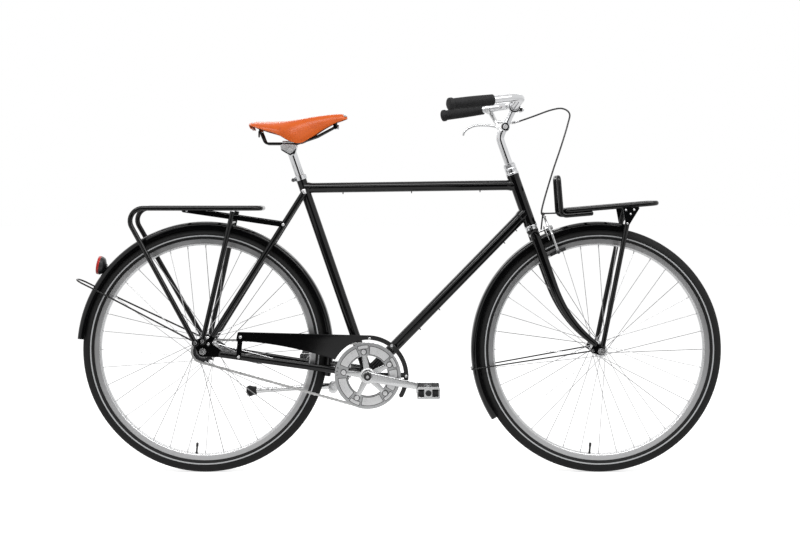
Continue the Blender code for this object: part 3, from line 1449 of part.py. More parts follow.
def fork():
    inner = QUILL_DIAMETER / 2 + GAP
    wall = STEERER_DIAMETER / 2 - inner
    top = HEAD_TUBE_LENGTH + STEERER_TOP
    race_start = crown_s() + CROWN_RADIUS / 2
    pieces = [pipe("fork", steer_at(race_start + GAP, 0), steer_at(top, 0), STEERER_DIAMETER, wall)]
    crown = steer(crown_s(), 0)
    pieces.append(across("fork_crown", crown, -CROWN_HALF_WIDTH, CROWN_HALF_WIDTH, CROWN_RADIUS))
    race_end = -CUP_HEIGHT - GAP
    pieces.append(bar("crown_race", steer_at(race_start, 0), steer_at(race_end, 0), CUP_RADIUS - CUP_TAPER))
    for name, side in SIDES:
        points, shares = blade_path(side)
        blade = rod(f"blade_{name}", points, BLADE_DEPTH, shares=shares)
        pieces.append(narrow(blade, BLADE_SHARE_OF_WIDTH))
        tip = steer(-FORK_LENGTH + BLADE_END * 1.4, FORK_RAKE * 0.85)
        eyelet = FRONT_AXLE + FRONT_EYELET
        circles = [(FRONT_AXLE, FRONT_DROPOUT_RADIUS), (eyelet, FRONT_EYELET_RADIUS)]
        outline = around([(tip, FRONT_EYELET_RADIUS), *circles])
        y = side * front_dropout_y()
        pieces.append(plate(f"front_dropout_{name}", [outline], FRONT_DROPOUT_THICKNESS, y))
    reach = front_dropout_y() + BLADE_DEPTH
    hole = across("axle_hole", FRONT_AXLE, -reach, reach, FRONT_AXLE_RADIUS + GAP)
    room = FRONT_DROPOUT_SPACING / 2 - GAP / 2
    clear = STRUT_EYE_RADIUS * 1.6
    inside = across("hub_room", FRONT_AXLE, -room, room, clear)
    outside = []
    for name, side in SIDES:
        start = side * (front_dropout_y() + FRONT_DROPOUT_THICKNESS / 2 + GAP / 2)
        outside.append(across(f"nut_room_{name}", FRONT_AXLE, start, side * reach, clear))
    finish(join(pieces, [hole, inside, *outside]), GLOSS_BLACK, "steering")


def front_rack_rail(distance):
    """A place on the front rack's rails, this far from its back end."""
    back = FRONT_AXLE + Vector((FRONT_RACK_BACK, TYRE_RADIUS + FRONT_RACK_CLEARANCE))
    return back + polar(FRONT_RACK_TILT, distance)


def front_rack():
    half = FRONT_RACK_HALF_WIDTH
    back = front_rack_rail(0)
    ahead = front_rack_rail(FRONT_RACK_LENGTH)
    corners = [at(back, -half), at(ahead, -half), at(ahead, half), at(back, half)]
    path = rounded(corners, FRONT_RACK_BEND, 3, closed=True)
    pieces = [rod("front_rack", path, RACK_TUBE, 10, closed=True)]
    for i in range(1, FRONT_RACK_BARS + 1):
        place = front_rack_rail(FRONT_RACK_LENGTH * i / (FRONT_RACK_BARS + 1))
        pieces.append(across(f"front_rack_bar_{i}", place, -half, half, RACK_BAR / 2, 6))
    down = Vector((0, -HOOP_TUBE))
    run_start = front_rack_rail(HOOP_RUN) + down
    corner = front_rack_rail(-HOOP_LEAN) + down
    crest = front_rack_rail(0) + Vector((-HOOP_LEAN * 2, HOOP_HEIGHT))
    right = [at(run_start, -half), at(corner, -half), at(crest, -HOOP_HALF_WIDTH)]
    hoop = rounded([*right, *mirrored(right)], HOOP_BEND, 3)
    pieces.append(rod("backrest", hoop, HOOP_TUBE, 10))
    end_s = calliper_s() + CALLIPER_BOLT_RADIUS + CROWN_ROD / 4
    end = steer_at(end_s, CROWN_RADIUS + CROWN_ROD_REACH)
    front = at(front_rack_rail(FRONT_RACK_LENGTH / (FRONT_RACK_BARS + 1)))
    low = front + Vector((0, 0, -RACK_BAR))
    rod_path = rounded([front, low, steer_at(*CROWN_ROD_KNEE), end], CROWN_ROD_BEND, 3)
    pieces.append(rod("crown_rod", rod_path, CROWN_ROD, 8))
    finish(join(pieces), GLOSS_BLACK, "steering")


def front_rack_struts():
    slope = math.tan(STRUT_LEAN)
    rail = front_rack_rail(0)
    rise = math.tan(FRONT_RACK_TILT)
    reach = (rail.y - RACK_TUBE / 2 - FRONT_AXLE.y - rise * (rail.x - FRONT_AXLE.x)) / (1 - rise * slope)
    top_z = reach - 2 * GAP - STRUT_TUBE / 2 * (math.sin(STRUT_LEAN) + rise)
    top = FRONT_AXLE + Vector((top_z * slope, top_z))
    along = (top - FRONT_AXLE).normalized()
    eye_y = FRONT_DROPOUT_SPACING / 2 + FRONT_DROPOUT_THICKNESS + GAP + STRUT_EYE_THICKNESS / 2
    foot_y = eye_y - STRUT_EYE_THICKNESS / 2 + STRUT_TUBE / 2
    foot = FRONT_AXLE + along * (NUT_RADIUS + STRUT_TUBE / 2)
    pieces = []
    for name, side in SIDES:
        points = [at(foot, side * foot_y), at(top, side * FRONT_RACK_HALF_WIDTH)]
        pieces.append(rod(f"strut_{name}", points, STRUT_TUBE))
        neck = foot + along * STRUT_TUBE / 2
        outline = around([(FRONT_AXLE, STRUT_EYE_RADIUS), (neck, STRUT_TUBE * 0.45)])
        hole = arc(FRONT_AXLE, FRONT_AXLE_RADIUS + GAP, 0, math.tau * 11 / 12, 11)
        pieces.append(plate(f"strut_eye_{name}", [outline, hole], STRUT_EYE_THICKNESS, side * eye_y))
    brace = top - along * STRUT_BRACE_DROP
    half = FRONT_RACK_HALF_WIDTH
    pieces.append(across("strut_brace", brace, -half, half, RACK_BAR / 2, 8))
    struts = join(pieces)
    struts.name = "front_rack_struts"
    finish(struts, GLOSS_BLACK, "steering")


# Stem, handlebar, grips


def stem():
    radius = QUILL_DIAMETER / 2
    start = HEAD_TUBE_LENGTH + STEERER_TOP - STEM_INSERTION
    knuckle = steer_at(*KNUCKLE)
    clamp = steer(*BAR_CLAMP)
    pieces = [bar("stem", steer_at(start, 0), steer_at(STEM_TOP, 0), radius)]
    bend = steer_at(STEM_TOP + STEM_NECK_KNEE.x, STEM_NECK_KNEE.y)
    neck = [steer_at(STEM_TOP - STEM_NECK, 0), bend, knuckle]
    pieces.append(rod("stem_neck", neck, QUILL_DIAMETER))
    half = KNUCKLE_WIDTH / 2
    pieces.append(across("stem_knuckle", steer(*KNUCKLE), -half, half, KNUCKLE_RADIUS))
    pieces.append(rod("stem_arm", [knuckle, at(clamp)], STEM_ARM))
    half = CLAMP_WIDTH / 2
    pieces.append(across("stem_clamp", clamp, -half, half, CLAMP_RADIUS))
    bore = across("stem_bore", clamp, -CLAMP_WIDTH, CLAMP_WIDTH, BAR_DIAMETER / 2 + GAP)
    finish(join(pieces, [bore]), CHROME, "steering")


def grip_line(side):
    """The back end of the grip and the direction forward along it."""
    back = from_clamp(GRIP_BACK, side)
    corner = from_clamp(BAR_CORNER, side)
    return back, (corner - back).normalized()


def handlebar():
    path = []
    for side in (-1, 1):
        back, _ = grip_line(side)
        corner = from_clamp(BAR_CORNER, side)
        inner = from_clamp(Vector((0, BAR_STRAIGHT, 0)), side)
        half = rounded([back, corner, inner], BAR_BEND, 6)
        path.extend(half if side < 0 else reversed(half))
    finish(rod("handlebar", path, BAR_DIAMETER), CHROME, "steering")


def grips():
    for name, side in SIDES:
        back, ahead = grip_line(side)
        bore = BAR_DIAMETER / 2 + GAP
        grip = GRIP_DIAMETER / 2
        flange = GRIP_FLANGE / 2
        length = GRIP_LENGTH
        profile = [
            (0, -GAP),
            (bore, -GAP),
            (bore, length),
            (grip * 0.92, length),
            (grip, length * 0.97),
            (grip, GRIP_RIM + GRIP_RIM_SLOPE),
            (flange, GRIP_RIM),
            (flange, -GRIP_CAP / 2),
            (grip * 0.8, -GRIP_CAP),
            (0, -GRIP_CAP),
        ]
        finish(turned(f"grip_{name}", profile, back, ahead, ring=False), RUBBER, "steering")


# Front brake


def lever_axis():
    pivot = from_clamp(LEVER_PIVOT)
    end = from_clamp(LEVER_END)
    back, ahead = grip_line(1)
    hold = back + ahead * (end - back).dot(ahead)
    return (end - pivot).cross(hold - end).normalized()


def brake_lever():
    back, ahead = grip_line(1)
    ring_at = back + ahead * (GRIP_LENGTH + PERCH_AHEAD)
    half = ahead * PERCH_WIDTH / 2
    pivot = from_clamp(LEVER_PIVOT)
    axis = lever_axis()
    stop = from_clamp(CABLE_STOP)
    clear = LEVER_THICKNESS / 2 + GAP
    ring = bar("brake_lever_perch", ring_at - half, ring_at + half, PERCH_RING)
    toward = ring_at - pivot
    lift = (toward - axis * toward.dot(axis)).normalized()
    arm_start = pivot + lift * (LEVER_PIVOT_RADIUS + PERCH_ARM_LENGTH)
    lap = arm_start + lift * PERCH_LAP
    arm = rod("perch_arm", [arm_start, ring_at], PERCH_ARM_DIAMETER)
    fork_arms = []
    for side in (-1, 1):
        inner = axis * clear * side
        outer = axis * (clear + PERCH_EAR) * side
        fork_arms.append(bar("perch_ear", pivot + inner, pivot + outer, LEVER_PIVOT_RADIUS))
        middle = (inner + outer) / 2
        fork_arms.append(rod("perch_side", [pivot + middle, lap + middle], PERCH_EAR, 8))
    barrel_path = [lap, stop - cable_leave() * BARREL_LENGTH, stop]
    barrel = rod("cable_barrel", barrel_path, BARREL_DIAMETER, 10)
    bore = bar("perch_bore", ring_at - half * 4, ring_at + half * 4, BAR_DIAMETER / 2 + GAP)
    perch = join([ring, arm, *fork_arms, barrel], [bore])
    finish(perch, ALUMINIUM, "steering")
    middle = axis * LEVER_THICKNESS / 2
    hub_piece = bar("brake_lever", pivot - middle, pivot + middle, LEVER_PIVOT_RADIUS - 2 * GAP)
    path = rounded([pivot, from_clamp(LEVER_BEND), from_clamp(LEVER_END)], LEVER_BLADE_BEND, 4)
    shares = [0.8, *[1.0] * (len(path) - 2), 1.15]
    blade = rod("lever_blade", path, LEVER_THICKNESS * 0.95, shares=shares)
    finish(join([hub_piece, blade]), ALUMINIUM, "brake_lever")


def cable_leave():
    """The direction in which the cable leaves the lever."""
    away = CABLE_STOP - LEVER_PIVOT
    return Vector((away.x, 0, away.z * 0.7)).normalized()


def brake_cable():
    leave = cable_leave()
    arm = calliper_stop()
    up = heading(UP_HEAD)
    first = from_clamp(CABLE_STOP) + leave * GAP
    points = [first, first + leave * CABLE_STRAIGHT]
    points += [from_clamp(offset) for offset in CABLE_ROUTE]
    points += [arm + up * CABLE_END_STRAIGHT, arm + up * CABLE_PLAY]
    path = smooth(points, CABLE_DIAMETER * 3)
    finish(rod("brake_cable", path, CABLE_DIAMETER, 6), MATT_BLACK, "steering")


def calliper_s():
    return crown_s() + CALLIPER_DROP


def calliper_stop():
    """Where the cable's housing ends on the calliper."""
    return steer_at(calliper_s() + CALLIPER_STOP.x, CALLIPER_REACH, CALLIPER_STOP.y)


def calliper_bolt():
    front = CALLIPER_REACH + CALLIPER_ARM / 2
    start = CROWN_RADIUS + GAP
    profile = [
        (0, front + CALLIPER_HEAD_HEIGHT),
        (CALLIPER_HEAD_RADIUS, front + CALLIPER_HEAD_HEIGHT),
        (CALLIPER_HEAD_RADIUS, front + GAP),
        (CALLIPER_BOLT_RADIUS, front + GAP),
        (CALLIPER_BOLT_RADIUS, start),
        (0, start),
    ]
    bolt = turned("calliper_bolt", profile, steer_at(calliper_s(), 0), heading(AHEAD), ring=False, sides=12)
    finish(bolt, STEEL, "steering")


def shoe_radius():
    return RIM_OUTER - PAD_BELOW_RIM_EDGE


def shoe_s():
    """How far up the steering axis the brake shoes press on the rim."""
    return -FORK_LENGTH + math.sqrt(shoe_radius() ** 2 - PAD_BEHIND_AXLE**2)


def calliper_arm_r(side):
    """The left arm turns behind the right one."""
    return CALLIPER_REACH - (CALLIPER_ARM + GAP if side > 0 else 0)


def calliper_arm(name, side):
    """One arm: from its boss out round the fender and down, with a stud in to the shoe."""
    s = calliper_s()
    r = calliper_arm_r(side)
    pad_s = shoe_s()
    clear_y = (FENDER_WIDTH + FENDER_SHEET + CALLIPER_ARM) / 2 + CALLIPER_CLEARANCE
    route = [
        (s, 0),
        (s + CALLIPER_SHOULDER.x, CALLIPER_SHOULDER.y),
        (s - CALLIPER_ELBOW_DROP, clear_y),
        (s - CALLIPER_WRIST_DROP, clear_y),
        (pad_s, clear_y - CALLIPER_CLEARANCE),
    ]
    points = [steer_at(a, r, side * y) for a, y in route]
    arm = rod(f"calliper_arm_{name}", rounded(points, CALLIPER_BEND, 1), CALLIPER_ARM, 8)
    half = CALLIPER_ARM / 2
    boss = bar("arm_boss", steer_at(s, r - half), steer_at(s, r + half), CALLIPER_BOSS_RADIUS)
    stud_end = RIM_WIDTH / 2 + PAD_GAP + PAD_THICKNESS + GAP
    stud = across("arm_stud", steer(pad_s, r), side * clear_y, side * stud_end, STUD_RADIUS, 10)
    pieces = [arm, boss, stud]
    if side < 0:
        cap = calliper_stop()
        top = cap - heading(UP_HEAD) * CALLIPER_STOP_HEIGHT
        elbow = steer_at(s + CALLIPER_LIFT.x, r, CALLIPER_LIFT.y)
        pieces.append(rod("arm_lift", [steer_at(s, r), elbow, top], CALLIPER_ARM * 0.9, 8))
        pieces.append(bar("arm_stop", top, cap, CALLIPER_STOP_RADIUS, 10))
    bore = bar("arm_bore", steer_at(s, 0), steer_at(s, r * 2), CALLIPER_BOLT_RADIUS + GAP, 12)
    finish(join(pieces, [bore]), ALUMINIUM, f"calliper_{name}")


def brake_shoe(name, side):
    """A block curved like the rim that it presses on."""
    away = steer(shoe_s(), calliper_arm_r(side)) - FRONT_AXLE
    middle = math.atan2(away.y, away.x)
    half = PAD_LENGTH / 2 / shoe_radius()
    outline = arc(FRONT_AXLE, shoe_radius() + PAD_HEIGHT / 2, middle - half, middle + half, 6)
    outline += arc(FRONT_AXLE, shoe_radius() - PAD_HEIGHT / 2, middle + half, middle - half, 6)
    y = side * (RIM_WIDTH / 2 + PAD_GAP + PAD_THICKNESS / 2)
    block = plate(f"brake_shoe_{name}", [outline], PAD_THICKNESS, y)
    finish(solid(block), RUBBER, f"calliper_{name}")


# Seat


def seat_head():
    return seat_axis(SEAT_HEAD_AT)


def rail_base():
    """The height of the rails' middle over the seat post head, at the head."""
    return seat_head() + Vector((-RAIL_BACK, RAIL_LIFT))


def seat_post():
    start = seat_axis(SEAT_TUBE_LENGTH - POST_IN_TUBE)
    post = bar("seat_post", at(start), at(seat_head()), SEAT_POST_DIAMETER / 2)
    base = rail_base()
    top = base.y - RAIL_DIAMETER / 2 - GAP
    shelf = SEAT_HEAD_SHELF
    shape = [
        (Vector((base.x - SEAT_HEAD_HALF_LENGTH, top - shelf)), shelf),
        (Vector((base.x + SEAT_HEAD_HALF_LENGTH, top - shelf)), shelf),
        (seat_head() - UP_SEAT * shelf / 2, SEAT_HEAD_THROAT),
    ]
    head = plate("seat_post_head", [around(shape)], SEAT_HEAD_WIDTH, 0)
    finish(join([post, head]), CHROME, "seat_height")


def saddle_crown(share):
    """The height of the saddle's crown over the rails, at this share of its length."""
    for a, b in zip(SADDLE_STATIONS, SADDLE_STATIONS[1:]):
        if share <= b[0]:
            way = (share - a[0]) / (b[0] - a[0])
            return SADDLE_HEIGHT * (a[2] + (b[2] - a[2]) * way)


def saddle_place(share, height):
    """A side-view place at a share of the saddle's length, this high over the rails."""
    base = rail_base()
    return Vector((base.x - SADDLE_OVERHANG + SADDLE_LENGTH * share, base.y + height))


def saddle_frame():
    rear = saddle_place(CANTLE_SHARE, 0)
    nose = saddle_place(NOSE_BAR_SHARE, NOSE_BAR_HEIGHT)
    base = rail_base()
    half = RAIL_HALF_WIDTH
    route = (
        (rear + Vector((0, RAIL_REAR.z)), RAIL_REAR.y),
        (rear + Vector((RAIL_REAR.x, 0)), half),
        (base + Vector((RAIL_FLAT, 0)), half),
        (base + Vector((RAIL_RISE.x, RAIL_RISE.z)), RAIL_RISE.y),
        (nose, RAIL_NOSE_HALF_WIDTH),
    )
    pieces = []
    for name, side in SIDES:
        points = [at(place, side * y) for place, y in route]
        pieces.append(rod(f"rail_{name}", rounded(points, RAIL_BEND, 2), RAIL_DIAMETER, 8))
    reach = NOSE_BAR_HALF_WIDTH
    pieces.append(across("nose_bar", nose, -reach, reach, NOSE_BAR_RADIUS, 12))
    riser_top = saddle_place(NOSE_BAR_SHARE, saddle_crown(NOSE_BAR_SHARE) - SADDLE_SHEET * 1.45)
    pieces.append(bar("nose_riser", at(nose), at(riser_top), NOSE_BAR_RADIUS, 12))
    cantle_top = saddle_crown(CANTLE_SHARE) - SADDLE_SHEET * 2.4
    middle = saddle_place(CANTLE_SHARE, (cantle_top + CANTLE_FOOT) / 2)
    size = (CANTLE_THICKNESS, CANTLE_WIDTH, cantle_top - CANTLE_FOOT)
    pieces.append(box("cantle", at(middle), size))
    frame = join(pieces)
    frame.name = "saddle_frame"
    finish(frame, MATT_BLACK, "seat_height")


def saddle_top():
    """A grid bent over the stations, then given the leather's thickness on its underside."""
    last = len(SADDLE_STATIONS) - 1
    sheet = bmesh.new()
    bmesh.ops.create_grid(sheet, x_segments=last, y_segments=10, size=1)
    for vert in sheet.verts:
        share, wide, crown, skirt = SADDLE_STATIONS[round((vert.co.x + 1) / 2 * last)]
        bend = vert.co.y * math.pi / 2
        y = SADDLE_HALF_WIDTH * wide * math.sin(bend)
        fall = (crown - skirt) * (1 - math.cos(bend)) ** 1.15
        vert.co = at(saddle_place(share, SADDLE_HEIGHT * (crown - fall)), y)
    mesh = bpy.data.meshes.new("saddle_top")
    sheet.to_mesh(mesh)
    sheet.free()
    obj = put("saddle_top", mesh)
    leather = obj.modifiers.new("leather", "SOLIDIFY")
    leather.thickness = SADDLE_SHEET
    leather.offset = -1
    finish(obj, LEATHER, "seat_height")


def add_pivots():
    add_pivot("steering", steer_at(0, 0))
    add_pivot("front_wheel", at(FRONT_AXLE), "steering")
    add_pivot("rear_wheel", at(REAR_AXLE))
    add_pivot("rear_driver", at(REAR_AXLE))
    add_pivot("crank", at(BOTTOM_BRACKET))
    add_pivot("pedal_right", at(crank_tip(-1)), "crank")
    add_pivot("pedal_left", at(crank_tip(1)), "crank")
    add_pivot("brake_lever", from_clamp(LEVER_PIVOT), "steering")
    for name, _ in SIDES:
        add_pivot(f"calliper_{name}", steer_at(calliper_s(), 0), "steering")
    add_pivot("kickstand", kickstand_pivot())
    add_pivot("seat_height", at(SEAT_TOP))
    bpy.context.view_layer.update()


def main():
    for obj in list(bpy.data.objects):
        bpy.data.objects.remove(obj)
    for name in ("city_bike", "cutters"):
        group = bpy.data.collections.new(name)
        bpy.context.scene.collection.children.link(group)
    add_pivots()
    main_tubes()
    bottom_bracket()
    chainstays()
    seatstays()
    seat_collar()
    headset()
    wheel("rear", REAR_AXLE, "rear_wheel")
    wheel("front", FRONT_AXLE, "front_wheel")
    hubs()
    axles()
    fender("rear_fender", REAR_AXLE, REAR_FENDER_ENDS)
    fender("front_fender", FRONT_AXLE, FRONT_FENDER_ENDS, "steering")
    rear_fender_stay()
    front_fender_stay()
    reflector()
    rear_rack()
    rear_rack_front_legs()
    chain()
    chainring()
    sprocket()
    cranks()
    for name, side in SIDES:
        pedal(name, side)
    chain_guard()
    kickstand()
    fork()
    front_rack()
    front_rack_struts()
    stem()
    handlebar()
    grips()
    brake_lever()
    brake_cable()
    calliper_bolt()
    for name, side in SIDES:
        calliper_arm(name, side)
        brake_shoe(name, side)
    seat_post()
    saddle_frame()
    saddle_top()


main()
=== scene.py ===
"""The looks of the city bike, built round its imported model.

Lengths are in millimetres, with +X forward, +Y left and +Z up. MM turns them into Blender's metres.
"""

import json
import math

import bpy
from mathutils import Matrix, Vector


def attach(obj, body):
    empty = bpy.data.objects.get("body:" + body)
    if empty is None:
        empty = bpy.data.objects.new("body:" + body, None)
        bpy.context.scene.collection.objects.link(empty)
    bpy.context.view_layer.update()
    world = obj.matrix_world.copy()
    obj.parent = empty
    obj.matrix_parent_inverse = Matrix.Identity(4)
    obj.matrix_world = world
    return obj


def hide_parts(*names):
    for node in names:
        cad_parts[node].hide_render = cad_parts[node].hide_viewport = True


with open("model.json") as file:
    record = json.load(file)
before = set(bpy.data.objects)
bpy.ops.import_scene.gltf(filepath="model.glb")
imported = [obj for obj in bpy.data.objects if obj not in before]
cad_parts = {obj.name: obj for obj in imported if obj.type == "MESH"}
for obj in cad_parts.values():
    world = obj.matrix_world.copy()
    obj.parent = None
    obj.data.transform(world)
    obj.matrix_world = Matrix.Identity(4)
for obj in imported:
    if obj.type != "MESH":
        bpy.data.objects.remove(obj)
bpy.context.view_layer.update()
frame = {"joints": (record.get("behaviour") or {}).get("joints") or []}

MM = 0.001
ORIGIN = Vector((0, 0, 0))
AHEAD = Vector((1, 0, 0))
ACROSS = Vector((0, 1, 0))
UPWARD = Vector((0, 0, 1))
SIDES = (("right", -1), ("left", 1))
HANDS = (-1, 1)
WELD = 0.004
END_TURNS = (0.45, 0.85, 1.15, 1.4)
END_DEPTH = 0.7

# Places on the bike, the axles and axes from the frame's joints
JOINTS = {joint["name"]: joint for joint in frame["joints"]}
REAR_AXLE = Vector(JOINTS["rear_wheel_roll"]["pos_m"]) / MM
FRONT_AXLE = Vector(JOINTS["front_wheel_roll"]["pos_m"]) / MM
CRANK_AXLE = Vector(JOINTS["crank_turn"]["pos_m"]) / MM
RACK_EYELETS = (REAR_AXLE + Vector((-18, 0, 26)), REAR_AXLE + Vector((2, 0, 30.5)))
HEAD_FOOT = Vector(JOINTS["steering_turn"]["pos_m"]) / MM
HEAD_UP = Vector(JOINTS["steering_turn"]["axis"])
HEAD_AHEAD = ACROSS.cross(HEAD_UP)
SEAT_UP = Vector(JOINTS["seat_height"]["axis"])
BAR_CLAMP = Vector((326.12, 0, 1030.64))
CABLE_STOP = Vector((348.1, 195, 998.6))
CABLE_WAY = Vector((0.9795, 0, 0.2017))

# Wheels and fenders
TYRE_RADIUS = 346
TYRE_HALF = 19
TYRE_SWELL = 19.06
TYRE_STEPS = 168
GROOVE_DEPTH = 1.1
RIM_INNER = 294
SPOKE_RADIUS = 1
SPOKE_COUNT = 36
FENDER_RADIUS = 360.5
FENDER_SHEET = 1.5

# Tubes
HEAD_TUBE_LENGTH = 151
TOP_TUBE_RADIUS = 14.3
DOWN_TUBE_RADIUS = 15.9
SEAT_TUBE_RADIUS = 14.3
SEAT_TUBE_LENGTH = 578.6
CHAINSTAY_RADIUS = 9.5
SEATSTAY_RADIUS = 8
FORK_BLADE_RADIUS = 13.5
SEAT_POST_RADIUS = 12.7
BAR_RADIUS = 11.1
HOUSING_RADIUS = 2.5

# Racks
RACK_TUBE = 7
RACK_BAR = 5
RACK_FOOT_Y = 78
REAR_RACK_HALF = 52.5
FRONT_RACK_HALF = 53

# Drive
CHAIN_PITCH = 12.7
CHAINLINE = 45
RING_PITCH_RADIUS = 89
RING_TEETH = 44
RING_BOLT_CIRCLE = 68
RING_BOLT_ANGLES = [27.5 + 72 * i for i in range(5)]
RING_HOLES_ANGLE = 171.5
SPROCKET_PITCH_RADIUS = 32.5
SPROCKET_TEETH = 16
CRANK_ANGLE = -10.5
CRANK_LENGTH = 170
CRANK_ARM_Y = 67
PEDAL_MIDDLE_Y = 126


def at(x, y, z):
    return Vector((x, y, z))


def route(hand, *places):
    """Places on one side of the bike: -1 is the right and 1 the left."""
    return [Vector((x, y * hand, z)) for x, y, z in places]


def carried_over(side):
    """A path up one side of the bike and, mirrored, back down the other."""
    return [*side, *(Vector((p.x, -p.y, p.z)) for p in reversed(side) if p.y)]


def flat(place):
    return Vector((place.x, 0, place.z))


def steer(s, r=0.0, y=0.0):
    """A place by the steering axis: s up it from the foot of the head tube, r ahead of it."""
    return HEAD_FOOT + HEAD_UP * s + HEAD_AHEAD * r + ACROSS * y


def seat_line(s):
    """A place up the seat tube from the crank axle."""
    return CRANK_AXLE + SEAT_UP * s


def about(centre, degrees, radius, y=0.0):
    """A place round an axle: 0 degrees is forward and 90 is up."""
    angle = math.radians(degrees)
    return centre + Vector((math.cos(angle) * radius, y, math.sin(angle) * radius))


def rounded(corners, radius, steps=6, closed=False):
    """A path through corners, each bend turned at this radius."""
    path = []
    for i, corner in enumerate(corners):
        if not closed and i in (0, len(corners) - 1):
            path.append(corner)
            continue
        before = (corners[i - 1] - corner).normalized()
        after = (corners[(i + 1) % len(corners)] - corner).normalized()
        half = before.angle(after) / 2
        centre = corner + (before + after).normalized() * radius / math.sin(half)
        start = corner + before * radius / math.tan(half) - centre
        end = corner + after * radius / math.tan(half) - centre
        for step in range(steps + 1):
            path.append(centre + start.slerp(end, step / steps).normalized() * radius)
    return path


def flowing(points, steps=6):
    """A smooth path through the points."""
    ends = [points[0] * 2 - points[1], *points, points[-1] * 2 - points[-2]]
    path = []
    for a, b, c, d in zip(ends, ends[1:], ends[2:], ends[3:]):
        for step in range(steps):
            t = step / steps
            bend = (a * 2 - b * 5 + c * 4 - d) * t**2
            twist = (b * 3 - a - c * 3 + d) * t**3
            path.append((b * 2 + (c - a) * t + bend + twist) / 2)
    return [*path, points[-1]]


# Outlines and profiles


def ring_of(centre, radius, steps=28):
    return [about(flat(centre), 360 * i / steps, radius) for i in range(steps)]


def around(*circles, steps=20):
    """A side-view outline drawn tight round circles of (centre, radius)."""
    places = [place for centre, radius in circles for place in ring_of(centre, radius, steps)]
    places.sort(key=lambda place: (round(place.x, 4), place.z))
    outline = []
    for row in (places, places[::-1]):
        side = []
        for place in row:
            while len(side) > 1 and (side[-1] - side[-2]).cross(place - side[-1]).y >= -1e-6:
                side.pop()
            side.append(place)
        outline += side[:-1]
    return outline


def opposite(half, middle=0.0):
    """A half profile mirrored in the middle, without the points that lie on it."""
    return [(radius, 2 * middle - along) for radius, along in reversed(half) if along != middle]


def matched(half, middle=0.0):
    """A half profile with its other half."""
    return half + opposite(half, middle)


# Modelling steps


def deselect():
    bpy.ops.object.select_all(action="DESELECT")


def take(piece):
    deselect()
    piece.select_set(True)
    bpy.context.view_layer.objects.active = piece


def opened(piece):
    """Takes a piece into edit mode with all of it selected."""
    take(piece)
    bpy.ops.object.mode_set(mode="EDIT")
    bpy.ops.mesh.select_all(action="SELECT")


def shut(piece):
    bpy.ops.object.mode_set(mode="OBJECT")
    return piece


def named(name):
    piece = bpy.context.object
    piece.name = name
    piece.data.name = name
    return piece


def settle(piece):
    """Puts an object's place and turn into its mesh."""
    take(piece)
    bpy.ops.object.transform_apply(location=True, rotation=True, scale=True)
    return piece


def modified(piece, kind, **settings):
    """Adds a modifier and applies it."""
    take(piece)
    modifier = piece.modifiers.new("change", kind)
    for setting, value in settings.items():
        setattr(modifier, setting, value)
    bpy.ops.object.modifier_apply(modifier="change")


def sealed(piece):
    """Welds the seams and turns every face outwards."""
    opened(piece)
    bpy.ops.mesh.remove_doubles(threshold=WELD * MM)
    bpy.ops.mesh.normals_make_consistent(inside=False)
    return shut(piece)


def drawn(name, points):
    """One vertex drawn out through the points. It stays in edit mode."""
    deselect()
    bpy.ops.mesh.primitive_plane_add(size=MM, location=points[0] * MM)
    piece = settle(named(name))
    opened(piece)
    bpy.ops.mesh.merge(type="CENTER")
    for a, b in zip(points, points[1:]):
        bpy.ops.mesh.extrude_region_move(TRANSFORM_OT_translate={"value": (b - a) * MM})
    bpy.ops.mesh.select_all(action="SELECT")
    return piece


def turned(name, profile, centre, axis=ACROSS, steps=48):
    """A profile of (radius, distance along the axis) spun right round, and closed where it is a ring."""
    axis = axis.normalized()
    out = axis.orthogonal().normalized()
    if profile[0][0] and profile[-1][0]:
        profile = [*profile, profile[0]]
    piece = drawn(name, [centre + out * radius + axis * along for radius, along in profile])
    bpy.ops.mesh.spin(steps=steps, angle=math.tau, center=centre * MM, axis=axis)
    return sealed(shut(piece))


def sleeve(name, centre, axis, inner, outer, start, end, steps=20):
    """A plain ring, or a rod where its inner radius is nothing."""
    profile = [(inner, start), (outer, start), (outer, end), (inner, end)]
    return turned(name, profile, centre, axis, steps)


def crossbar(name, place, radius, sides, start, end=None, edge=0.8):
    """A round bar across the bike with its edges turned down. With one end given it is centred."""
    low, high = sorted((start, -start if end is None else end))
    profile = [(0, low), (radius - edge, low), (radius, low + edge)]
    profile += [(radius, high - edge), (radius - edge, high), (0, high)]
    return turned(name, profile, flat(place), ACROSS, sides)


def hex_nut(name, centre, axis, radius, height, hole=0.0):
    """A six-sided nut with its corners turned down."""
    profile = [(hole, 0), (radius * 0.93, 0), (radius, height * 0.12), (radius, height * 0.86)]
    profile += [(radius * 0.9, height), (hole, height)]
    return turned(name, profile, centre, axis, 6)


def dome(name, centre, axis, radius, height):
    """A low round bolt head."""
    profile = [(0, height), (radius * 0.35, height * 0.96), (radius * 0.72, height * 0.78)]
    profile += [(radius * 0.94, height * 0.42), (radius, 0), (0, 0)]
    return turned(name, profile, centre, axis, 16)


def socket_bolt(name, centre, axis, radius, height):
    """A round bolt head with a hollow for its key."""
    profile = [(0, height * 0.45), (radius * 0.5, height * 0.45), (radius * 0.5, height)]
    profile += [(radius * 0.9, height), (radius, height * 0.85), (radius, 0), (0, 0)]
    return turned(name, profile, centre, axis, 12)


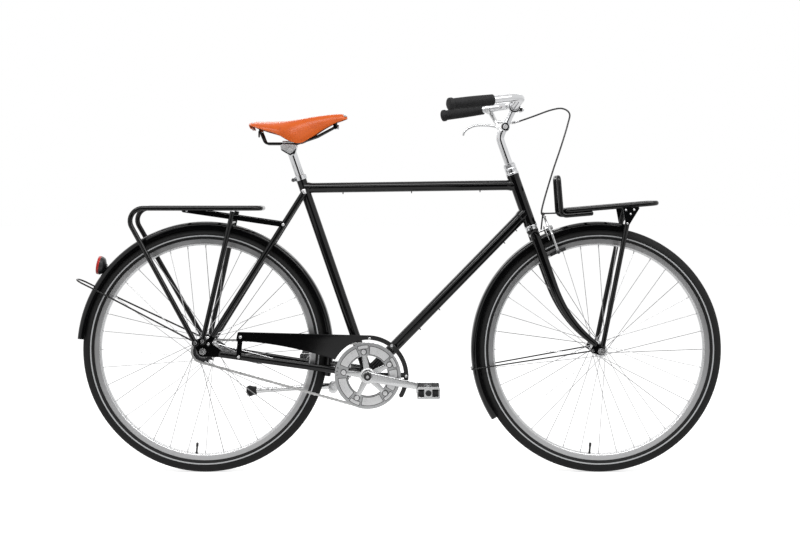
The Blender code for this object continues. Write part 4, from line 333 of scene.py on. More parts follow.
def tube(name, path, radius, shares=None, sides=20, closed=False):
    """A round section swept along a path. shares gives each point's share of the radius."""
    deselect()
    bpy.ops.curve.primitive_bezier_curve_add(location=(0, 0, 0))
    curve = named(name).data
    curve.splines.clear()
    spline = curve.splines.new("POLY")
    spline.points.add(len(path) - 1)
    for point, place, share in zip(spline.points, path, shares or [1] * len(path)):
        point.co = (*(place * MM), 1)
        point.radius = share
    spline.use_cyclic_u = closed
    curve.dimensions = "3D"
    curve.bevel_depth = radius * MM
    curve.bevel_resolution = sides // 2 - 2
    curve.use_fill_caps = True
    bpy.ops.object.convert(target="MESH")
    return sealed(bpy.context.object)


def round_ended(name, path, radius, sides=20, shares=None, first=True, last=True):
    """A tube with its first end, its last end or both rounded off."""
    path = list(path)
    shares = list(shares or [1] * len(path))
    for wanted in (last, first):
        if wanted:
            tip, full = path[-1], shares[-1]
            way = (tip - path[-2]).normalized() * radius * full
            for turn in END_TURNS:
                path.append(tip + way * math.sin(turn) * END_DEPTH)
                shares.append(full * math.cos(turn))
        path.reverse()
        shares.reverse()
    return tube(name, path, radius, shares, sides)


def narrowed(piece, share):
    """Flattens a tube across the bike. Its path was spread by the same share."""
    opened(piece)
    bpy.ops.transform.resize(value=(1, share, 1), center_override=(0, 0, 0))
    return shut(piece)


def stamped(name, outlines, thickness, y, edge=0.3):
    """A flat plate from side-view outlines, with its edges rounded. Later outlines are holes."""
    deselect()
    bpy.ops.curve.primitive_bezier_circle_add(location=(0, 0, 0))
    curve = named(name).data
    curve.splines.clear()
    curve.dimensions = "2D"
    curve.fill_mode = "BOTH"
    curve.extrude = (thickness / 2 - edge) * MM
    curve.bevel_depth = edge * MM
    curve.bevel_resolution = 1
    curve.offset = -edge * MM
    for outline in outlines:
        spline = curve.splines.new("POLY")
        spline.points.add(len(outline) - 1)
        spline.use_cyclic_u = True
        for point, place in zip(spline.points, outline):
            point.co = (place.x * MM, place.z * MM, 0, 1)
    bpy.ops.object.convert(target="MESH")
    piece = bpy.context.object
    piece.rotation_euler.x = math.pi / 2
    piece.location.y = y * MM
    return sealed(settle(piece))


def block(name, centre, size, edge=1.0):
    """A box with its edges bevelled round."""
    deselect()
    bpy.ops.mesh.primitive_cube_add(size=1, location=centre * MM)
    piece = named(name)
    piece.scale = Vector(size) * MM
    opened(settle(piece))
    bpy.ops.mesh.bevel(offset=edge * MM, segments=3, affect="EDGES")
    return shut(piece)


def shift(place):
    return Matrix.Translation(place * MM)


def turn_about(centre, degrees):
    """The turn that takes 0 degrees round an axle to this angle."""
    return shift(centre) @ Matrix.Rotation(-math.radians(degrees), 4, "Y") @ shift(-centre)


def copied(piece, matrix):
    twin = piece.copy()
    twin.data = piece.data.copy()
    bpy.context.collection.objects.link(twin)
    twin.data.transform(matrix)
    return twin


def repeated(piece, centre, count):
    """A piece and its copies, evenly round an axle."""
    return [piece, *(copied(piece, turn_about(centre, 360 * i / count)) for i in range(1, count))]


def joined(name, pieces):
    take(pieces[0])
    for piece in pieces:
        piece.select_set(True)
    bpy.ops.object.join()
    return named(name)


def fitted(piece, look, body, slot, *nodes, degrees=38):
    """Gives a piece its finish and hangs it on its body, in place of the plain nodes."""
    piece.data.materials.clear()
    piece.data.materials.append(look)
    take(piece)
    bpy.ops.object.shade_smooth_by_angle(angle=math.radians(degrees))
    modified(piece, "WEIGHTED_NORMAL", keep_sharp=True)
    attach(piece, body)
    if nodes:
        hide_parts(*nodes)


# Finishes


class Amount:
    """A value that changes over a surface. Arithmetic on it adds Math nodes to its finish."""

    def __init__(self, nodes, socket):
        self.nodes = nodes
        self.socket = socket

    def __add__(self, other):
        return self.nodes.maths("ADD", self, other)

    def __radd__(self, other):
        return self.nodes.maths("ADD", other, self)

    def __sub__(self, other):
        return self.nodes.maths("SUBTRACT", self, other)

    def __rsub__(self, other):
        return self.nodes.maths("SUBTRACT", other, self)

    def __mul__(self, other):
        return self.nodes.maths("MULTIPLY", self, other)

    def __rmul__(self, other):
        return self.nodes.maths("MULTIPLY", other, self)

    def __pow__(self, other):
        return self.nodes.maths("POWER", self, other)

    def over(self, limit):
        return self.nodes.maths("GREATER_THAN", self, limit)

    def under(self, limit):
        return self.nodes.maths("LESS_THAN", self, limit)


class Nodes:
    """The nodes of a finish or of the room."""

    def __init__(self, tree):
        self.tree = tree

    def node(self, kind, settings, inputs, output=0):
        """Adds a node: its settings first, then the values and links of its sockets."""
        node = self.tree.nodes.new(kind)
        for setting, value in settings.items():
            setattr(node, setting, value)
        for socket, value in inputs.items():
            if isinstance(value, Amount):
                self.tree.links.new(value.socket, node.inputs[socket])
            else:
                node.inputs[socket].default_value = value
        return Amount(self, node.outputs[output])

    def maths(self, operation, *values):
        return self.node("ShaderNodeMath", {"operation": operation}, dict(enumerate(values)))

    def seen_by(self, kind):
        """1 for one kind of light path and 0 for the others."""
        return self.node("ShaderNodeLightPath", {}, {}, f"Is {kind} Ray")


class Finish(Nodes):
    """One surface finish, built from shader nodes. The scales of its noises are per metre."""

    def __init__(self, name, constants):
        self.material = bpy.data.materials.new(name)
        self.material.use_nodes = True
        super().__init__(self.material.node_tree)
        self.shader = self.tree.nodes["Principled BSDF"]
        for socket, value in constants.items():
            self.shader.inputs[socket].default_value = value

    def feed(self, socket, amount):
        self.tree.links.new(amount.socket, self.shader.inputs[socket])

    def show(self, kind, inputs):
        """Sends the finish out through a last shader node."""
        last = self.node(kind, {}, inputs)
        self.tree.links.new(last.socket, self.tree.nodes["Material Output"].inputs["Surface"])

    def place(self, stretch=(1, 1, 1), move=(0, 0, 0)):
        coords = self.node("ShaderNodeTexCoord", {}, {}, "Object")
        return self.node("ShaderNodeMapping", {}, {"Vector": coords, "Scale": stretch, "Location": move})

    def parts(self, centre):
        """The x, y and z from this place, in millimetres."""
        moved = self.place((1 / MM, 1 / MM, 1 / MM), -centre)
        return [self.node("ShaderNodeSeparateXYZ", {}, {0: moved}, i) for i in range(3)]

    def noise(self, scale, detail=2.0, stretch=(1, 1, 1)):
        inputs = {"Vector": self.place(stretch), "Scale": scale, "Detail": detail}
        return self.node("ShaderNodeTexNoise", {}, inputs)

    def cells(self, scale, feature="F1"):
        inputs = {"Vector": self.place(), "Scale": scale}
        return self.node("ShaderNodeTexVoronoi", {"feature": feature}, inputs)

    def spread(self, amount, start, end):
        """The amount from start to end, drawn out to 0 and 1."""
        return self.node("ShaderNodeMapRange", {}, {0: amount, 1: start, 2: end})

    def tint(self, share, first, second):
        """One colour turning into another."""
        inputs = {0: share}
        for socket, colour in ((6, first), (7, second)):
            inputs[socket] = colour if isinstance(colour, Amount) else (*colour, 1)
        return self.node("ShaderNodeMix", {"data_type": "RGBA"}, inputs, 2)

    def raise_by(self, height, depth):
        inputs = {"Height": height, "Distance": depth * MM, "Strength": 1.0}
        self.feed("Normal", self.node("ShaderNodeBump", {}, inputs))

    def worn(self):
        """More than nothing only along outer edges."""
        return self.spread(self.node("ShaderNodeNewGeometry", {}, {}, "Pointiness"), 0.52, 0.60)


def gloss_black_paint():
    paint = Finish("gloss_black_paint", {"Specular IOR Level": 0.36})
    cloud = paint.noise(9, 3)
    specks = paint.noise(260, 4).over(0.72)
    scuffs = paint.noise(55, 6, (1, 1, 9)).over(0.66)
    base = paint.tint(cloud, (0.0014, 0.0014, 0.0016), (0.0034, 0.0034, 0.0038))
    wear = specks * 0.10 + paint.worn() * 0.10
    paint.feed("Base Color", paint.tint(wear, base, (0.030, 0.030, 0.030)))
    paint.feed("Roughness", cloud * 0.05 + scuffs * 0.04 + specks * 0.06 + 0.05)
    paint.raise_by(paint.noise(700, 1) + scuffs * 0.15, 0.0015)
    return paint.material


def chrome_plate():
    chrome = Finish("chrome_plate", {"Metallic": 1.0})
    haze = chrome.noise(22, 4)
    streaks = chrome.noise(120, 3, (1, 1, 0.15))
    chrome.feed("Base Color", chrome.tint(haze, (0.60, 0.61, 0.62), (0.70, 0.70, 0.71)))
    chrome.feed("Roughness", haze * 0.06 + streaks * 0.05 + 0.05)
    chrome.raise_by(chrome.noise(60, 2), 0.006)
    return chrome.material


def polished_aluminium():
    alloy = Finish("polished_aluminium", {"Metallic": 1.0})
    haze = alloy.noise(18, 4)
    lines = alloy.noise(900, 3, (1, 1, 0.06))
    base = alloy.tint(haze, (0.60, 0.605, 0.61), (0.71, 0.715, 0.72))
    alloy.feed("Base Color", alloy.tint(alloy.worn() * 0.5, base, (0.74, 0.74, 0.74)))
    alloy.feed("Roughness", haze * 0.10 + lines * 0.06 + 0.15)
    alloy.raise_by(lines, 0.003)
    return alloy.material


def satin_rim(name, axle):
    """Aluminium with the rings that turning and braking leave round it."""
    rim = Finish(name, {"Metallic": 1.0})
    x, _, z = rim.parts(axle)
    radius = (x * x + z * z) ** 0.5
    rings = rim.node("ShaderNodeTexNoise", {"noise_dimensions": "1D"}, {"W": radius, "Scale": 5.2})
    haze = rim.noise(14, 3)
    track = rim.spread(radius, 299.5, 300.5) * (1 - rim.spread(radius, 311.0, 312.0))
    base = rim.tint(haze, (0.54, 0.545, 0.55), (0.64, 0.64, 0.645))
    rim.feed("Base Color", rim.tint(track * 0.5, base, (0.38, 0.38, 0.385)))
    rim.feed("Roughness", rings * 0.10 + haze * 0.10 + track * 0.08 + 0.16)
    rim.raise_by(rings * (0.3 + track), 0.008)
    return rim.material


def stainless_wire():
    wire = Finish("stainless_wire", {"Metallic": 1.0})
    haze = wire.noise(60, 3)
    wire.feed("Base Color", wire.tint(haze, (0.40, 0.40, 0.41), (0.56, 0.56, 0.56)))
    wire.feed("Roughness", haze * 0.20 + 0.16)
    wire.raise_by(wire.noise(1500, 2), 0.01)
    return wire.material


def zinc_steel(name, dark, light, rough):
    """Plated metal: nuts, bolts, axles, the chain and the chainring's plates."""
    steel = Finish(name, {"Metallic": 1.0})
    haze = steel.noise(45, 4)
    spots = steel.noise(420, 3).over(0.62)
    base = steel.tint(haze, dark, light)
    steel.feed("Base Color", steel.tint(spots * 0.35, base, tuple(c * 0.55 for c in dark)))
    steel.feed("Roughness", haze * 0.18 + spots * 0.16 + rough)
    steel.raise_by(steel.noise(800, 3), 0.005)
    return steel.material


def tyre_rubber(name, axle):
    """Black rubber with cut slots over its tread, painted darker inside them as painted shade, fine ribs on
    its sides and a pale ring.
    """
    rubber = Finish(name, {"Specular IOR Level": 0.25})
    x, y, z = rubber.parts(axle)
    radius = (x * x + z * z) ** 0.5
    angle = rubber.maths("ARCTAN2", z, x)
    width = rubber.maths("ABSOLUTE", y)
    dust = rubber.noise(35, 5)
    fine = rubber.noise(1600, 2)
    slant = angle * (180 / math.pi) + width * 0.26
    slots = rubber.maths("FRACT", slant * 0.34).under(0.16)
    ribs = rubber.maths("SINE", angle * 420)
    tread = rubber.spread(radius, 336.0, 336.8)
    stripe = radius.over(319.6) * radius.under(322.9) * width.over(15.0)
    cord_line = radius.over(324.7) * radius.under(325.5)
    base = rubber.tint(dust, (0.006, 0.006, 0.0063), (0.015, 0.015, 0.015))
    # Painted shade: the tread's slots are only bumped, so their colour is taken near black to stand in for
    # the shade inside them.
    base = rubber.tint(slots * tread * 0.8, base, (0.004, 0.004, 0.004))
    rubber.feed("Base Color", rubber.tint(stripe, base, (0.56, 0.57, 0.58)))
    rubber.feed("Roughness", dust * 0.16 + 0.60 - stripe * 0.28)
    relief = fine * 0.12 - slots * tread * (1 - width.under(2.8)) + ribs * (1 - tread) * 0.05
    rubber.raise_by(relief + cord_line * 0.4 + stripe * 0.3, 0.7)
    return rubber.material


def moulded_rubber(name, tone, cross):
    """Matt black rubber with fine lines moulded across it."""
    rubber = Finish(name, {"Specular IOR Level": 0.25})
    dust = rubber.noise(70, 4)
    grit = rubber.noise(1900, 2)
    lines = rubber.maths("SINE", rubber.parts(ORIGIN)[1] * cross)
    rubber.feed("Base Color", rubber.tint(dust, tone, tuple(c * 2.1 for c in tone)))
    rubber.feed("Roughness", dust * 0.18 + 0.56)
    rubber.raise_by(grit * 0.25 + lines * 0.2, 0.2)
    return rubber.material


def black_plastic():
    plastic = Finish("black_plastic", {"Specular IOR Level": 0.5})
    haze = plastic.noise(120, 3)
    plastic.feed("Base Color", plastic.tint(haze, (0.008, 0.008, 0.009), (0.020, 0.020, 0.021)))
    plastic.feed("Roughness", haze * 0.2 + 0.26)
    plastic.raise_by(plastic.noise(2600, 2), 0.06)
    return plastic.material


def red_lens():
    """Clear red plastic over small prisms."""
    lens = Finish("red_lens", {"Coat Weight": 0.2, "Coat Roughness": 0.05, "Specular IOR Level": 0.3})
    prisms = lens.cells(330, "DISTANCE_TO_EDGE")
    rings = lens.noise(60, 2)
    share = lens.spread(prisms, 0.02, 0.22)
    lens.feed("Base Color", lens.tint(share, (0.42, 0.006, 0.004), (0.72, 0.026, 0.016)))
    lens.feed("Roughness", rings * 0.15 + 0.12)
    lens.raise_by(lens.spread(prisms, 0.0, 0.35), 0.6)
    return lens.material


def honey_leather():
    """Waxed saddle leather: pebbled grain, darker where it is stretched and handled."""
    hide = Finish("honey_leather", {"Specular IOR Level": 0.32})
    grain = hide.cells(620)
    pores = hide.noise(2300, 3)
    cloud = hide.noise(13, 4)
    streaks = hide.noise(70, 4, (0.35, 1, 1))
    base = hide.tint(cloud, (0.60, 0.088, 0.004), (0.76, 0.138, 0.009))
    base = hide.tint(hide.spread(streaks, 0.45, 0.75) * 0.45, base, (0.48, 0.062, 0.003))
    base = hide.tint(hide.spread(grain, 0.45, 0.85) * 0.30, base, (0.42, 0.052, 0.003))
    hide.feed("Base Color", hide.tint(hide.worn() * 0.35, base, (0.80, 0.24, 0.06)))
    hide.feed("Roughness", cloud * 0.10 + pores * 0.08 + 0.24)
    hide.raise_by((1 - grain) * 0.6 + pores * 0.35, 0.12)
    return hide.material


paint = gloss_black_paint()
chrome = chrome_plate()
alloy = polished_aluminium()
wire_steel = stainless_wire()
bright_steel = zinc_steel("bright_zinc", (0.46, 0.46, 0.47), (0.64, 0.64, 0.64), 0.14)
chain_steel = zinc_steel("oiled_chain_steel", (0.56, 0.56, 0.555), (0.72, 0.72, 0.715), 0.24)
dark_steel = zinc_steel("dark_steel", (0.030, 0.030, 0.032), (0.070, 0.070, 0.073), 0.30)
ring_steel = zinc_steel("grey_ring_steel", (0.46, 0.465, 0.47), (0.57, 0.575, 0.58), 0.26)
panel_alloy = zinc_steel("pale_panel_alloy", (0.74, 0.74, 0.745), (0.84, 0.84, 0.845), 0.34)
grip_rubber = moulded_rubber("grip_rubber", (0.011, 0.011, 0.0115), 0.9)
block_rubber = moulded_rubber("block_rubber", (0.014, 0.014, 0.0145), 2.4)
plastic = black_plastic()
lens_red = red_lens()
leather = honey_leather()


# Frame


def flared(name, start, end, radius, near, far=None):
    """A tube with a small fillet where it leaves the tube at each end."""
    length = (end - start).length
    fillet = ((0, 1.13), (2.5, 1.07), (6, 1.025), (12, 1.0))
    stops = [(0, 1.13), *((near + run, share) for run, share in fillet)]
    if far is None:
        stops.append((length, 1.0))
    else:
        stops += [(length - far - run, share) for run, share in reversed(fillet)]
        stops.append((length, 1.13))
    path = [start.lerp(end, run / length) for run, _ in stops]
    return tube(name, path, radius, [share for _, share in stops], 30)


def cable_guide(place, under):
    """A small wire loop brazed under a tube."""
    out = ACROSS * 3.6
    low = place + under * 4.2
    corners = [place + out, low + out, low - out, place - out]
    return tube("cable_guide", rounded(corners, 2.4, 4), 1.4, sides=8)


def main_tubes():
    head = matched([(15.2, 0), (17.4, 0), (17.7, 0.5), (17.7, 5.5), (17, 8.5)], HEAD_TUBE_LENGTH / 2)
    piece = turned("head_tube_with_rings", head, HEAD_FOOT, HEAD_UP, 40)
    fitted(piece, paint, "frame", "paint", "head_tube")
    rear, front = seat_line(555), steer(120)
    pieces = [flared("filleted_top_tube", rear, front, TOP_TUBE_RADIUS, 14, 17.5)]
    for share in (0.183, 0.506, 0.829):
        pieces.append(cable_guide(rear.lerp(front, share) - UPWARD * 13.8, -UPWARD))
    fitted(joined("top_tube_with_guides", pieces), paint, "frame", "paint", "top_tube")
    front = steer(39)
    under = ACROSS.cross(front - CRANK_AXLE).normalized()
    pieces = [flared("filleted_down_tube", CRANK_AXLE, front, DOWN_TUBE_RADIUS, 22.5, 19)]
    for share in (0.302, 0.424, 0.836, 0.912):
        pieces.append(cable_guide(CRANK_AXLE.lerp(front, share) + under * 15.3, under))
    fitted(joined("down_tube_with_guides", pieces), paint, "frame", "paint", "down_tube")
    piece = flared("filleted_seat_tube", CRANK_AXLE, seat_line(SEAT_TUBE_LENGTH), SEAT_TUBE_RADIUS, 20.5)
    fitted(piece, paint, "frame", "paint", "seat_tube")
    piece = turned("crank_shell", matched([(17, -34), (19.3, -34), (20, -33.3)]), CRANK_AXLE, ACROSS, 40)
    fitted(piece, paint, "frame", "paint", "bottom_bracket_shell")
    cups = matched([(8.8, -36.3), (15.8, -36.3), (16.5, -35.6)])
    piece = turned("bearing_cartridge", cups, CRANK_AXLE, ACROSS, 36)
    fitted(piece, dark_steel, "frame", "steel", "bottom_bracket_cartridge")


def rear_triangle():
    oval = 0.684
    course = ((-94.4, 27, 278.2), (-181.4, 32.8, 291.3), (-340, 45.3, 315.1))
    course += ((-470, 55.5, 334.6), (-496, 57.5, 338.5))
    lugs = [(place, 7.8) for place in (*RACK_EYELETS, at(-490.7, 0, 337.7))]
    dropout = [around((REAR_AXLE, 15), *lugs), ring_of(REAR_AXLE, 5.2)]
    pieces = []
    for hand in HANDS:
        path = flowing(route(hand / oval, *course))
        stay = round_ended("stay", path, CHAINSTAY_RADIUS, 28, first=False)
        pieces += [narrowed(stay, oval), stamped("dropout", dropout, 5, hand * 57.8, 0.7)]
    pieces.append(crossbar("bridge", at(-183.5, 0, 291.6), 6, 24, 32))
    fitted(joined("chainstays_and_dropouts", pieces), paint, "frame", "paint", "chainstays")
    fender_nut = at(-529.7, 0, 368)
    tab = around((at(-509.4, 0, 401.2), 7.5), (fender_nut, 7.5))
    pieces = []
    for hand in HANDS:
        path = route(hand, (-515.7, 62.6, 391), (-264.2, 22.6, 793.3))
        pieces.append(round_ended("stay", path, SEATSTAY_RADIUS, 24))
        pieces.append(stamped("tab", [tab], 4, hand * 62.6, 0.7))
    pieces.append(crossbar("bridge", at(-349.8, 0, 656.3), 6, 24, 36))
    fitted(joined("seatstays_and_bridge", pieces), paint, "frame", "paint", "seatstays")
    nuts = [dome("nut", fender_nut + ACROSS * hand * 64.6, ACROSS * hand, 4.6, 2.8) for hand in HANDS]
    fitted(joined("seatstay_bolts", nuts), bright_steel, "frame", "steel")
    caps = []
    for hand in HANDS:
        middle = at(-266, 26.2 * hand, 791.8)
        caps.append(round_ended("cap", [middle - SEAT_UP * 3.5, middle + SEAT_UP * 3.5], 6.4))
    fitted(joined("seatstay_caps", caps), panel_alloy, "frame", "chrome")


def seat_collar():
    profile = [(12.9, 0), (17, 0), (17.4, 0.6), (17.4, 12.8), (16.6, 13.8), (12.9, 13.8)]
    pieces = [turned("collar", profile, seat_line(578.8), SEAT_UP, 40)]
    bolt_at = at(-297.3, 0, 824)
    ear = around((at(-294.5, 0, 825), 5.5), (bolt_at, 5.5))
    pieces += [stamped("ear", [ear], 7.5, hand * 5.2, 0.8) for hand in HANDS]
    fitted(joined("collar_with_ears", pieces), chrome, "frame", "chrome", "seat_post_collar")
    nut = hex_nut("nut", bolt_at + ACROSS * 9, ACROSS, 5.2, 4)
    head = socket_bolt("head", bolt_at - ACROSS * 9, -ACROSS, 5.5, 4.5)
    fitted(joined("collar_bolt", [nut, head]), bright_steel, "frame", "chrome")


def headset():
    lower = [(13, -13.4), (16.3, -13.4), (17.2, -12.6), (17.2, -6.8), (18, -5.8), (18.6, -4.6), (18.6, -1)]
    lower += [(18.1, -0.3), (13, -0.3)]
    upper = [(13, 151.3), (18.1, 151.3), (18.6, 152), (18.6, 155.6), (18, 156.8), (17.2, 157.8)]
    upper += [(17.2, 163.6), (16.3, 164.3), (13, 164.3)]
    for level, cup in (("lower", lower), ("upper", upper)):
        piece = turned(f"{level}_bearing_cup", cup, HEAD_FOOT, HEAD_UP, 40)
        fitted(piece, chrome, "frame", "chrome", f"headset_{level}_cup")
    cone = [(13, 164.6), (16.6, 164.6), (17.3, 165.5), (17.3, 169.5), (16.6, 170.4), (16.2, 171.2)]
    cone += [(16.2, 172.2), (13, 172.2)]
    cap = [(11.3, 181.6), (15.2, 181.6), (15.2, 183.8), (14.4, 184.8), (11.3, 184.8)]
    pieces = [turned("cone", cone, HEAD_FOOT, HEAD_UP, 40)]
    pieces.append(hex_nut("nut", steer(172.4), HEAD_UP, 17.2, 9.2, 13))
    pieces.append(turned("cap", cap, HEAD_FOOT, HEAD_UP, 40))
    fitted(joined("headset_nuts", pieces), chrome, "steering", "chrome", "headset_locknut")


# Wheels


def tyre(name, axle, body, node, look):
    """The tread and its grooves, down to the beads, by the angle round its section."""
    grooves = (12.3, 36.1)
    angles = [0, 5, 20, 28, 44, 50, 57, *range(65, 138, 9)]
    angles += [middle + run for middle in grooves for run in (-1.7, -0.9, 0.9, 1.7)]
    half = []
    for angle in sorted(angles):
        bend = math.radians(angle)
        cut = any(abs(angle - middle) < 1 for middle in grooves)
        radius = TYRE_RADIUS - TYRE_SWELL * (1 - math.cos(bend)) - GROOVE_DEPTH * cut
        half.append((radius, TYRE_HALF * math.sin(bend)))
    piece = turned(name, matched([*half, (310, 9.8)]), axle, ACROSS, TYRE_STEPS)
    fitted(piece, look, body, "tyre", node, degrees=32)


def rim(name, axle, body, node, look):
    half = [(RIM_INNER, 0), (294, 4.5), (294.8, 8), (296.2, 10.3), (298.2, 11.65), (299.4, 11.75)]
    half += [(300, 11.5), (311.3, 11.5), (311.8, 11.75), (312.8, 11.7), (313, 11.2), (312.4, 10.6)]
    half += [(310, 10.4), (309.1, 8.5), (309, 0)]
    fitted(turned(name, matched(half), axle, ACROSS, TYRE_STEPS), look, body, "aluminium", node)
    nipple = [(0, -0.6), (2.8, -0.6), (2.9, 0), (2.1, 0.6), (1.7, 1.2), (1.6, 6.4), (1.1, 7), (0, 7)]
    first = turned("nipple", nipple, about(axle, 0, RIM_INNER), -AHEAD, 8)
    nipples = repeated(first, axle, SPOKE_COUNT)
    fitted(joined(f"{name}_nipples", nipples), bright_steel, body, "steel")
    valve = [(0, -1), (4.4, -1), (4.4, 0.8), (3.4, 1.4), (3.4, 2.2), (2.7, 3), (2.7, 17), (3.4, 17.6)]
    valve += [(3.6, 19), (3.6, 27), (2.6, 29), (0, 29.2)]
    place = about(axle, -95, RIM_INNER)
    fitted(turned(f"{name}_valve", valve, place, axle - place, 20), plastic, body, "rubber")


def spokes(name, axle, circle, spacing):
    """Thirty-six spokes crossed in threes: four kinds, nine of each."""
    wires = []
    for side, out in enumerate((1, -1)):
        for lean in HANDS:
            angle = 10 * (1 + lean + side)
            flange = out * spacing / 2
            head = about(axle, angle, circle, flange - lean * 3)
            elbow = about(axle, angle, circle, flange + lean * 1.7)
            end = about(axle, angle + lean * 60, RIM_INNER - 0.6)
            wire = tube("spoke", rounded([head, elbow, end], 1.6, 3), SPOKE_RADIUS, sides=6)
            cap = dome("spoke_head", head, head - elbow, 2.1, 1.1)
            wires += repeated(joined("spoke_with_head", [wire, cap]), axle, SPOKE_COUNT // 4)
    return joined(name, wires)


def wheel(end, axle, hub_name, hub, hub_steps, circle, spacing):
    """A tyre, a rim, a hub shell and the spokes between them."""
    body = f"{end}_wheel"
    tyre(f"grooved_{end}_tyre", axle, body, f"{end}_tyre", tyre_rubber(f"{end}_tyre_rubber", axle))
    rim(f"{end}_wheel_rim", axle, body, f"{end}_rim", satin_rim(f"{end}_rim_alloy", axle))
    fitted(turned(hub_name, hub, axle, ACROSS, hub_steps), alloy, body, "steel")
    wires = spokes(f"{end}_wheel_spokes", axle, circle, spacing)
    fitted(wires, wire_steel, body, "steel", f"{end}_hub_and_spokes")


def axle_and_nuts(name, axle, body, node, radius, cones, face, nut):
    """An axle with its cones, washers and nuts, by their distances from the middle of the bike."""
    pieces = [crossbar("axle", axle, radius, 20, nut + 12.5)]
    for hand, cone in zip(HANDS, cones):
        out = ACROSS * hand
        shape = [(radius, cone), (7.8, cone + 0.4), (7.8, face - 0.6), (radius, face - 0.4)]
        pieces.append(turned("cone", shape, axle, out, 24))
        pieces.append(sleeve("washer", axle, out, radius, 9.8, nut + 0.1, nut + 1.2, 28))
        pieces.append(hex_nut("nut", axle + out * (nut + 1.3), out, 8.9, 6.2, radius))
    fitted(joined(name, pieces), bright_steel, body, "steel", node)


def front_wheel():
    hub = [(12, 0), (12, 23), (13.2, 26.8), (19, 29), (20.3, 29.8), (20.3, 32.2), (19.6, 33), (13.6, 34)]
    hub += [(12, 37), (11.2, 45), (10.4, 47), (5.2, 47.4)]
    wheel("front", FRONT_AXLE, "front_hub_shell", matched(hub), 40, 17, 62)
    cones = (47.6, 47.6)
    axle_and_nuts("front_axle_and_nuts", FRONT_AXLE, "steering", "front_axle", 4.75, cones, 50.3, 57.4)


def tooth_outline(centre, teeth, pitch):
    """Chain teeth with hollows the size of the rollers."""
    steps = ((-0.5, -3.8), (-0.34, -3.3), (-0.24, -1.2), (-0.15, 1.6), (-0.055, 3.4))
    steps += tuple((-share, rise) for share, rise in reversed(steps[1:]))
    places = [((i + share) / teeth, pitch + rise) for i in range(teeth) for share, rise in steps]
    return [about(centre, 360 * turn, radius) for turn, radius in places]


def rear_wheel():
    half = [(24, 0), (24, 19), (25, 23.5), (31.8, 25.8), (32.9, 26.6), (32.9, 29)]
    half += [(32, 29.8), (24, 31), (20.4, 33)]
    left = [*half, (20.4, 41), (19, 42.8), (5.3, 43)]
    right = [*half, (20.4, 37.2), (19, 38.5), (5.3, 38.5)]
    wheel("rear", REAR_AXLE, "coaster_hub_shell", left + opposite(right), 48, 29.5, 56)
    cones = (49.4, 43.5)
    axle_and_nuts("rear_axle_and_nuts", REAR_AXLE, "frame", "rear_axle", 5, cones, 55.3, 60.4)
    lug = at(-397.2, 0, 305.5)
    arm = stamped("arm", [around((REAR_AXLE, 14), (lug, 7.8)), ring_of(REAR_AXLE, 5.4)], 3, 46.7, 0.6)
    strap = stamped("strap", [around((lug, 8), (lug + UPWARD * 12, 8))], 3, 46.7, 0.6)
    bolt = socket_bolt("bolt", lug + ACROSS * 48.2, ACROSS, 5.5, 4)
    fitted(joined("brake_reaction_arm", [arm, strap, bolt]), bright_steel, "frame", "steel")
    outline = tooth_outline(REAR_AXLE, SPROCKET_TEETH, SPROCKET_PITCH_RADIUS)
    teeth = stamped("teeth", [outline, ring_of(REAR_AXLE, 12.5)], 2.4, -CHAINLINE, 0.4)
    profile = [(5.4, 38.8), (13.8, 38.8), (14, 39.2), (14, 48.4), (13.4, 49), (5.4, 49)]
    driver = turned("driver", profile, REAR_AXLE, -ACROSS, 36)
    piece = joined("sprocket_on_driver", [teeth, driver])
    fitted(piece, dark_steel, "rear_driver", "steel", "rear_sprocket")
    clip = sleeve("sprocket_clip_ring", REAR_AXLE, -ACROSS, 14.2, 20.5, 46.4, 47.6, 36)
    fitted(clip, bright_steel, "rear_driver", "steel")


# Fenders


def fender_sheet(name, axle, start, end, body, node):
    """The fender's section, spun part of a circle and given its sheet, with rolled lower edges."""
    half = [(-19.6, 22.6), (-19, 23.8), (-17, 24), (-12, 24.1), (-8.5, 23.9), (-5.8, 22.9), (-3.8, 21.1)]
    half += [(-2.2, 18.4), (-1, 14.6), (-0.2, 9.8), (0, 5)]
    piece = drawn(name, [about(axle, start, FENDER_RADIUS + dip, y) for dip, y in matched(half)])
    sweep = end - start
    bpy.ops.mesh.spin(steps=round(sweep / 1.6), angle=math.radians(sweep), center=axle * MM, axis=ACROSS)
    sealed(shut(piece))
    modified(piece, "SOLIDIFY", thickness=FENDER_SHEET * MM, offset=0, use_even_offset=True)
    fitted(sealed(piece), paint, body, "paint", node)


def stay_wire(name, body, node, course, bend, steps, radius, eye):
    """A wire bent round over the tyre, with a flattened eye at each end."""
    path = rounded(carried_over(route(-1, *course)), bend, steps)
    pieces = [tube("stay", path, radius, sides=12)]
    for place in (*route(-1, eye), *route(1, eye)):
        pieces.append(sleeve("eye", place, ACROSS, 2.4, 5.2, -1.4, 1.4))
    fitted(joined(name, pieces), paint, body, "paint", node)


def fenders():
    fender_sheet("rear_mudguard", REAR_AXLE, -12, 175, "frame", "rear_fender")
    fender_sheet("front_mudguard", FRONT_AXLE, 77.6, 213, "steering", "front_fender")
    course = [(-569.4, 70, 374.8), (-839.1, 27, 508.7), (-908.5, 27, 543.2)]
    stay_wire("rear_stay_wire", "frame", "rear_fender_stay", course, 24, 8, 2.4, (-565, 70, 372.5))
    course = [(541.3, 56.6, 348), (529.4, 56.6, 346), (233.2, 27, 296.3), (205.5, 27, 291.6)]
    stay_wire("front_stay_wire", "steering", "front_fender_stay", course, 6, 6, 2, (541.3, 56.6, 348))
    bolts = [hex_nut("bolt", at(541.3, 58.6 * hand, 348), ACROSS * hand, 4.2, 3) for hand in HANDS]
    fitted(joined("front_stay_bolts", bolts), bright_steel, "steering", "steel")


